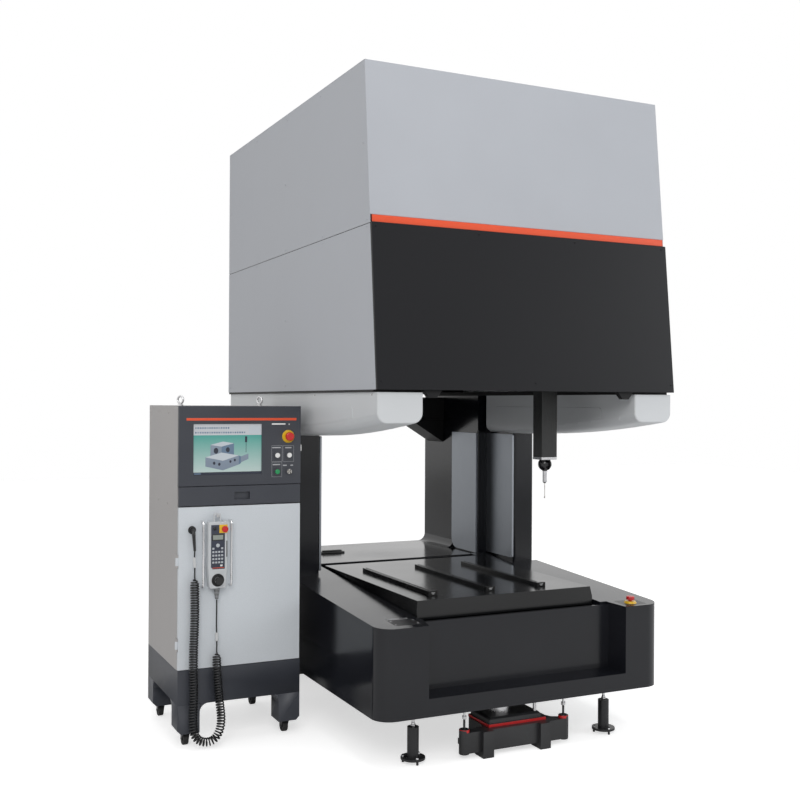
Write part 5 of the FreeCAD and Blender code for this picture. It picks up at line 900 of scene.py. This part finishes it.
# control cabinet: fascia prints, screen picture, screws, keyboard
fascia = {"stripe": (33, 534, 1416, 1427),
          "frames": ((418, 467, 1232, 1304), (471, 522, 1231, 1303), (419, 466, 1164, 1229)),
          "labels": ((421, 460, 1292, 1297), (482, 511, 1291, 1296), (423, 458, 1216, 1221),
                     (471, 489, 1212, 1217), (507, 519, 1212, 1217)), "strip": (418, 482, 1397, 1403), "lamp": (499, 1399, 3.4)}
picture = {"front": 5.8, "area": (64, 372, 1179, 1401), "toolbar": 1352, "taskbar": 1191,
           "icons": (72, 300, 1362, 1390), "iconPitch": 10.4, "icon": 6.6,
           "holes": ((157, 1230, 7), (180, 1225, 7), (165, 1284, 13), (218, 1288, 11), (230, 1236, 6),
                     (250, 1242, 6)),
           "bracket": ((((118, 1216), (196, 1198), (268, 1222), (268, 1262), (196, 1240), (118, 1256)), 6),
                       (((118, 1256), (196, 1240), (268, 1262), (190, 1276)), 5),
                       (((140, 1258), (190, 1247), (190, 1302), (140, 1310)), 6),
                       (((190, 1247), (246, 1264), (246, 1316), (190, 1302)), 4),
                       (((140, 1310), (190, 1302), (246, 1316), (196, 1324)), 5),
                       (((278, 1232), (312, 1246), (312, 1270), (278, 1258)), 6),
                       (((268, 1222), (278, 1228), (278, 1258), (268, 1262)), 4))}
sides = {"width": 556, "spots": ((385, 1452), (194, 1448), (379, 1046), (200, 1044), (367, 365)),
         "bumps": ((1074, 1136), (706, 783)), "depth": 575}
keyboard = {"start": (73, 96), "rows": 6, "columns": 22, "pitch": 18.6, "rowPitch": 21.5, "key": 15.4,
            "high": 5.5, "top": 1066.7, "spaceBar": (4, 5, 6, 7, 8), "gaps": (15, 19)}


def makeFascia():
    x0, x1, z0, z1 = fascia["stripe"]
    bm = bmesh.new()
    addBox(bm, (x0, -0.5, z0), (x1, 0.4, z1), 0.2)
    setPiece("fasciaStripe", bm, "stripe", "machine", cabinetOrigin)
    bm = bmesh.new()
    for x0, x1, z0, z1 in fascia["frames"]:
        ridgeLoop(bm, roundedCorners((x0, x1), (z0, z1), 2.5), 0.1, 1.1, -0.45)
    for x0, x1, z0, z1 in fascia["labels"]:
        addBox(bm, (x0, -0.3, z0), (x1, 0.3, z1))
    setPiece("fasciaPrints", bm, "printGrey", "machine", cabinetOrigin)
    bm = bmesh.new()
    x0, x1, z0, z1 = fascia["strip"]
    addBox(bm, (x0, -0.5, z0), (x1, 0.3, z1), 0.2)
    x, z, radius = fascia["lamp"]
    lens = [(0, radius), (1.2, radius), (2.4, radius * 0.75), (3.0, radius * 0.3)]
    addTurned(bm, (x, 0, z), (0, -1, 0), lens, 20)
    setPiece("fasciaLamp", bm, "signalWhite", "machine", cabinetOrigin)


def makePicture():
    # a generic measuring view: tool rows above, a stepped bracket, a task bar below
    front = picture["front"]
    x0, x1, z0, z1 = picture["area"]
    bm = bmesh.new()

    def patch(corners, skin, lift):
        addSlab(bm, corners, front - lift - 0.15, front - lift, "xz", skin)

    def panel(u0, u1, v0, v1, skin, lift=0.1):
        patch([(u0, v0), (u1, v0), (u1, v1), (u0, v1)], skin, lift)

    panel(x0, x1, z0, picture["taskbar"], 3)
    panel(x0, x1, picture["toolbar"], z1, 2)
    panel(x0, x1, picture["taskbar"], picture["toolbar"], 0)
    u0, u1, v0, v1 = picture["icons"]
    for row, v in enumerate((v1 - 6, v0 + 2)):
        for k in range(22 if row else 15):
            u = u0 + k * picture["iconPitch"]
            panel(u, u + picture["icon"], v - 4, v + 3, 4 if (k * 7 + row * 3) % 5 else 6, 0.3)
    panel(x1 - 58, x1 - 6, z1 - 44, z1 - 8, 5, 0.3)
    panel(x0 + 4, x0 + 34, z0 + 3, z0 + 9, 4, 0.3)
    for shape, skin in picture["bracket"]:
        patch(shape, skin, 0.3 if skin != 5 else 0.45)
    turns = [k * math.pi / 9 for k in range(18)]
    for u, v, radius in picture["holes"]:
        ring = [(u + radius * 0.8 * math.cos(turn), v + radius * math.sin(turn)) for turn in turns]
        patch(ring, 3, 0.6)
    panel(300, 302, 1276, 1344, 3, 0.6)
    panel(296, 306, 1320, 1346, 3, 0.75)
    glows = ["screen" + tone for tone in ("Teal", "Pale", "Grey", "Dark", "Blue", "Light", "Steel")]
    setPiece("screenPicture", bm, glows, "machine", cabinetOrigin, smooth=20)


def makeCabinetDetails():
    spots = [((x, y, z), (facing, 0, 0))
             for x, facing in ((0, -1), (sides["width"], 1)) for y, z in sides["spots"]]
    setScrews("cabinetScrews", spots, "cabinetGrey", "machine", "cabinet_grey", cabinetOrigin, 9.5, 1.8)
    bm = bmesh.new()
    for x in (30, sides["width"] - 60):
        for low, high in sides["bumps"]:
            addBox(bm, (x, sides["depth"] - 0.5, low), (x + 30, sides["depth"] + 7, high), 2.0)
    setPiece("rearHinges", bm, "blackPlastic", "machine", cabinetOrigin)
    bm = bmesh.new()
    addBox(bm, (sides["width"] - 0.5, 3, 1278), (sides["width"] + 4, 13, 1306), 1.0)
    setPiece("sideTab", bm, "signalWhite", "machine", cabinetOrigin)


def makeKeyboard():
    x0, y0 = keyboard["start"]
    pitch, key, top = keyboard["pitch"], keyboard["key"], keyboard["top"]
    marks = []
    for row in range(keyboard["rows"]):
        for column in range(keyboard["columns"]):
            wide = key
            if row == 0 and column in keyboard["spaceBar"]:
                if column != keyboard["spaceBar"][2]:
                    continue
                wide += 4 * pitch
            elif column in keyboard["gaps"] and row != keyboard["rows"] - 1:
                continue
            place = (x0 + column * pitch, y0 + row * keyboard["rowPitch"], top)
            marks.append((place, (0, 0, 1), (wide, key, keyboard["high"])))
    keyTree.setOut("keyboardKeys", marks, "blackPlastic", "drawer", "frame_black", cabinetOrigin, Top=0.82)


makeFascia()
makePicture()
makeCabinetDetails()
makeKeyboard()
print("cabinet details set")

# pendant: foil, keys, window, bellows and strain relief
pendant = {"face": -43, "foil": ((140, 775), (193, 775), (193, 966), (132, 966), (132, 784)),
           "window": (136, 189, 898, 926), "base": (168, 205, 930, 966), "line": (138, 190, 779, 781.5),
           "selector": (147, 951, 8.0), "round": (162, 877, 8.0), "keyXs": (142, 155, 168, 181),
           "keyZs": (864, 849, 834, 819, 804), "noKeys": ((155, 864), (168, 864)), "key": (9.5, 8.5, 1.8),
           "white": (178, 790), "whiteKey": (11, 8, 2.2), "slot": (200, 204, 826, 896), "stick": (163, 727),
           "relief": (163, -26, 690, 642)}


def makePendantFace():
    face = pendant["face"]
    bm = bmesh.new()
    addSlab(bm, pendant["foil"], face - 0.7, face + 0.2, bevel=0.2)
    x0, x1, z0, z1 = pendant["window"]
    addBox(bm, (x0, face - 1.6, z0), (x1, face, z1), 0.6, skin=1)
    addBox(bm, (x0 + 4, face - 1.9, z0 + 4), (x1 - 4, face - 1.5, z1 - 4), skin=2)
    x0, x1, z0, z1 = pendant["slot"]
    addBox(bm, (x0, face - 0.5, z0), (x1, face + 0.2, z1), 0.2, skin=1)
    x0, x1, z0, z1 = pendant["line"]
    addBox(bm, (x0, face - 1.0, z0), (x1, face - 0.5, z1), skin=3)
    x0, x1, z0, z1 = pendant["base"]
    addBox(bm, (x0, face - 1.5, z0), (x1, face + 0.2, z1), 0.8, skin=4)
    x, z, radius = pendant["selector"]
    knob = [(0, radius), (5, radius), (6.5, radius * 0.85), (8.5, radius * 0.55)]
    addTurned(bm, (x, face, z), (0, -1, 0), knob, 24, skin=1)
    x, z, radius = pendant["round"]
    addTurned(bm, (x, face, z), (0, -1, 0), [(0, radius), (1.8, radius), (2.6, radius * 0.8)], 28, skin=5)
    paints = ["keypad", "blackPlastic", "lcdGrey", "stripe", "signalYellow", "paleKey"]
    setPiece("pendantFace", bm, paints, "pendant", cabinetOrigin)
    marks = [((x, face - 1.3, z), (0, -1, 0), pendant["key"])
             for x in pendant["keyXs"] for z in pendant["keyZs"] if (x, z) not in pendant["noKeys"]]
    keyTree.setOut("pendantKeys", marks, "paleKey", "pendant", "pendant_grey", cabinetOrigin, Top=0.8)
    x, z = pendant["white"]
    marks = [((x, face - 1.3, z), (0, -1, 0), pendant["whiteKey"])]
    keyTree.setOut("pendantWhiteKey", marks, "signalWhite", "pendant", "signal_white", cabinetOrigin, Top=0.8)
    bm = bmesh.new()
    x, z = pendant["stick"]
    profile = [(0, 28)]
    for k in range(4):
        radius = 27 - 3.2 * k
        profile += [(1.2 + k * 0.5, radius), (2.6 + k * 0.5, radius - 1.0), (2.6 + k * 0.5, radius - 2.0),
                    (1.4 + k * 0.5, radius - 2.8)]
    profile += [(1.4, 13.6), (0, 13.4)]
    addRing(bm, (x, face, z), (0, -1, 0), profile)
    setPiece("stickBellows", bm, "casterRubber", "pendant", cabinetOrigin)
    x, y, high, low = pendant["relief"]
    bm = bmesh.new()
    profile = [(0, 13.2)]
    for k in range(8):
        along, radius = k * 6.0, 13.6 - k * 0.85
        profile += [(along + 0.4, radius), (along + 3.8, radius - 0.5), (along + 4.4, radius - 1.9),
                    (along + 5.6, radius - 2.0)]
    profile.append((high - low, 4.6))
    addTurned(bm, (x, y, high), (0, 0, -1), profile, 28)
    setPiece("pendantRelief", bm, "cordBlack", "pendant", cabinetOrigin, smooth=40)


makePendantFace()
print("pendant details set")


# floor and light
def makeStudio():
    studio = {"floor": 16.0, "diffuse": 0.36}
    bm = bmesh.new()
    half = studio["floor"]
    corners = ((-half, -half), (half, -half), (half, half), (-half, half))
    bm.faces.new([bm.verts.new((x, y, 0)) for x, y in corners])
    mesh = bpy.data.meshes.new("floor")
    bm.to_mesh(mesh)
    bm.free()
    floor = bpy.data.objects.new("floor", mesh)
    bpy.context.scene.collection.objects.link(floor)
    paint = Paint("floorPaper", (0.86, 0.86, 0.86), 0.7)
    path = paint.node("LightPath", {})
    seen = Value(paint, path.socket.node.outputs["Is Camera Ray"])
    glossy = Value(paint, path.socket.node.outputs["Is Glossy Ray"])
    glow = paint.node("Emission", {}, Color=(1, 1, 1), Strength=seen * 0.62 + glossy * 0.10)
    total = paint.node("AddShader", {}, Value(paint, paint.shader.outputs[0]), glow)
    paint.tree.links.new(total.socket, paint.tree.nodes["Material Output"].inputs["Surface"])
    mesh.materials.append(paint.material)
    world = bpy.data.worlds.new("studio")
    world.use_nodes = True
    bpy.context.scene.world = world
    tree = world.node_tree
    back = tree.nodes["Background"]
    path = tree.nodes.new("ShaderNodeLightPath")
    seenBy = path.outputs["Is Camera Ray"]
    for ray in ("Is Glossy Ray", "Is Transmission Ray"):
        either = tree.nodes.new("ShaderNodeMath")
        either.operation = "MAXIMUM"
        tree.links.new(seenBy, either.inputs[0])
        tree.links.new(path.outputs[ray], either.inputs[1])
        seenBy = either.outputs[0]
    strength = tree.nodes.new("ShaderNodeMath")
    strength.operation = "MULTIPLY_ADD"
    tree.links.new(seenBy, strength.inputs[0])
    strength.inputs[1].default_value = 1 - studio["diffuse"]
    strength.inputs[2].default_value = studio["diffuse"]
    back.inputs["Color"].default_value = (1, 1, 1, 1)
    tree.links.new(strength.outputs[0], back.inputs["Strength"])
    lights = (("keyFront", (-2.6, -5.2, 4.2), (0.3, 0, 1.4), 3.2, 2.6, 125, (1.0, 0.99, 0.98)),
              ("fillRight", (5.0, -3.4, 2.6), (0.3, 0.2, 1.2), 2.6, 3.0, 75, (0.95, 0.98, 1.0)),
              ("topSoft", (0.4, -0.6, 6.0), (0.3, 0.2, 0.6), 4.0, 4.0, 110, (1.0, 1.0, 1.0)),
              ("sideLeft", (-5.4, 0.6, 2.6), (-0.3, 0.3, 1.4), 2.4, 3.0, 14, (1.0, 0.965, 0.93)))
    for name, place, aim, width, height, power, colour in lights:
        data = bpy.data.lights.new(name, "AREA")
        data.shape, data.size, data.size_y = "RECTANGLE", width, height
        data.energy, data.color = power, colour
        lamp = bpy.data.objects.new(name, data)
        lamp.location = place
        lamp.rotation_euler = (Vector(aim) - Vector(place)).to_track_quat("-Z", "Y").to_euler()
        bpy.context.scene.collection.objects.link(lamp)
    bpy.context.scene.view_settings.view_transform = "Standard"


makeStudio()
print("studio set")
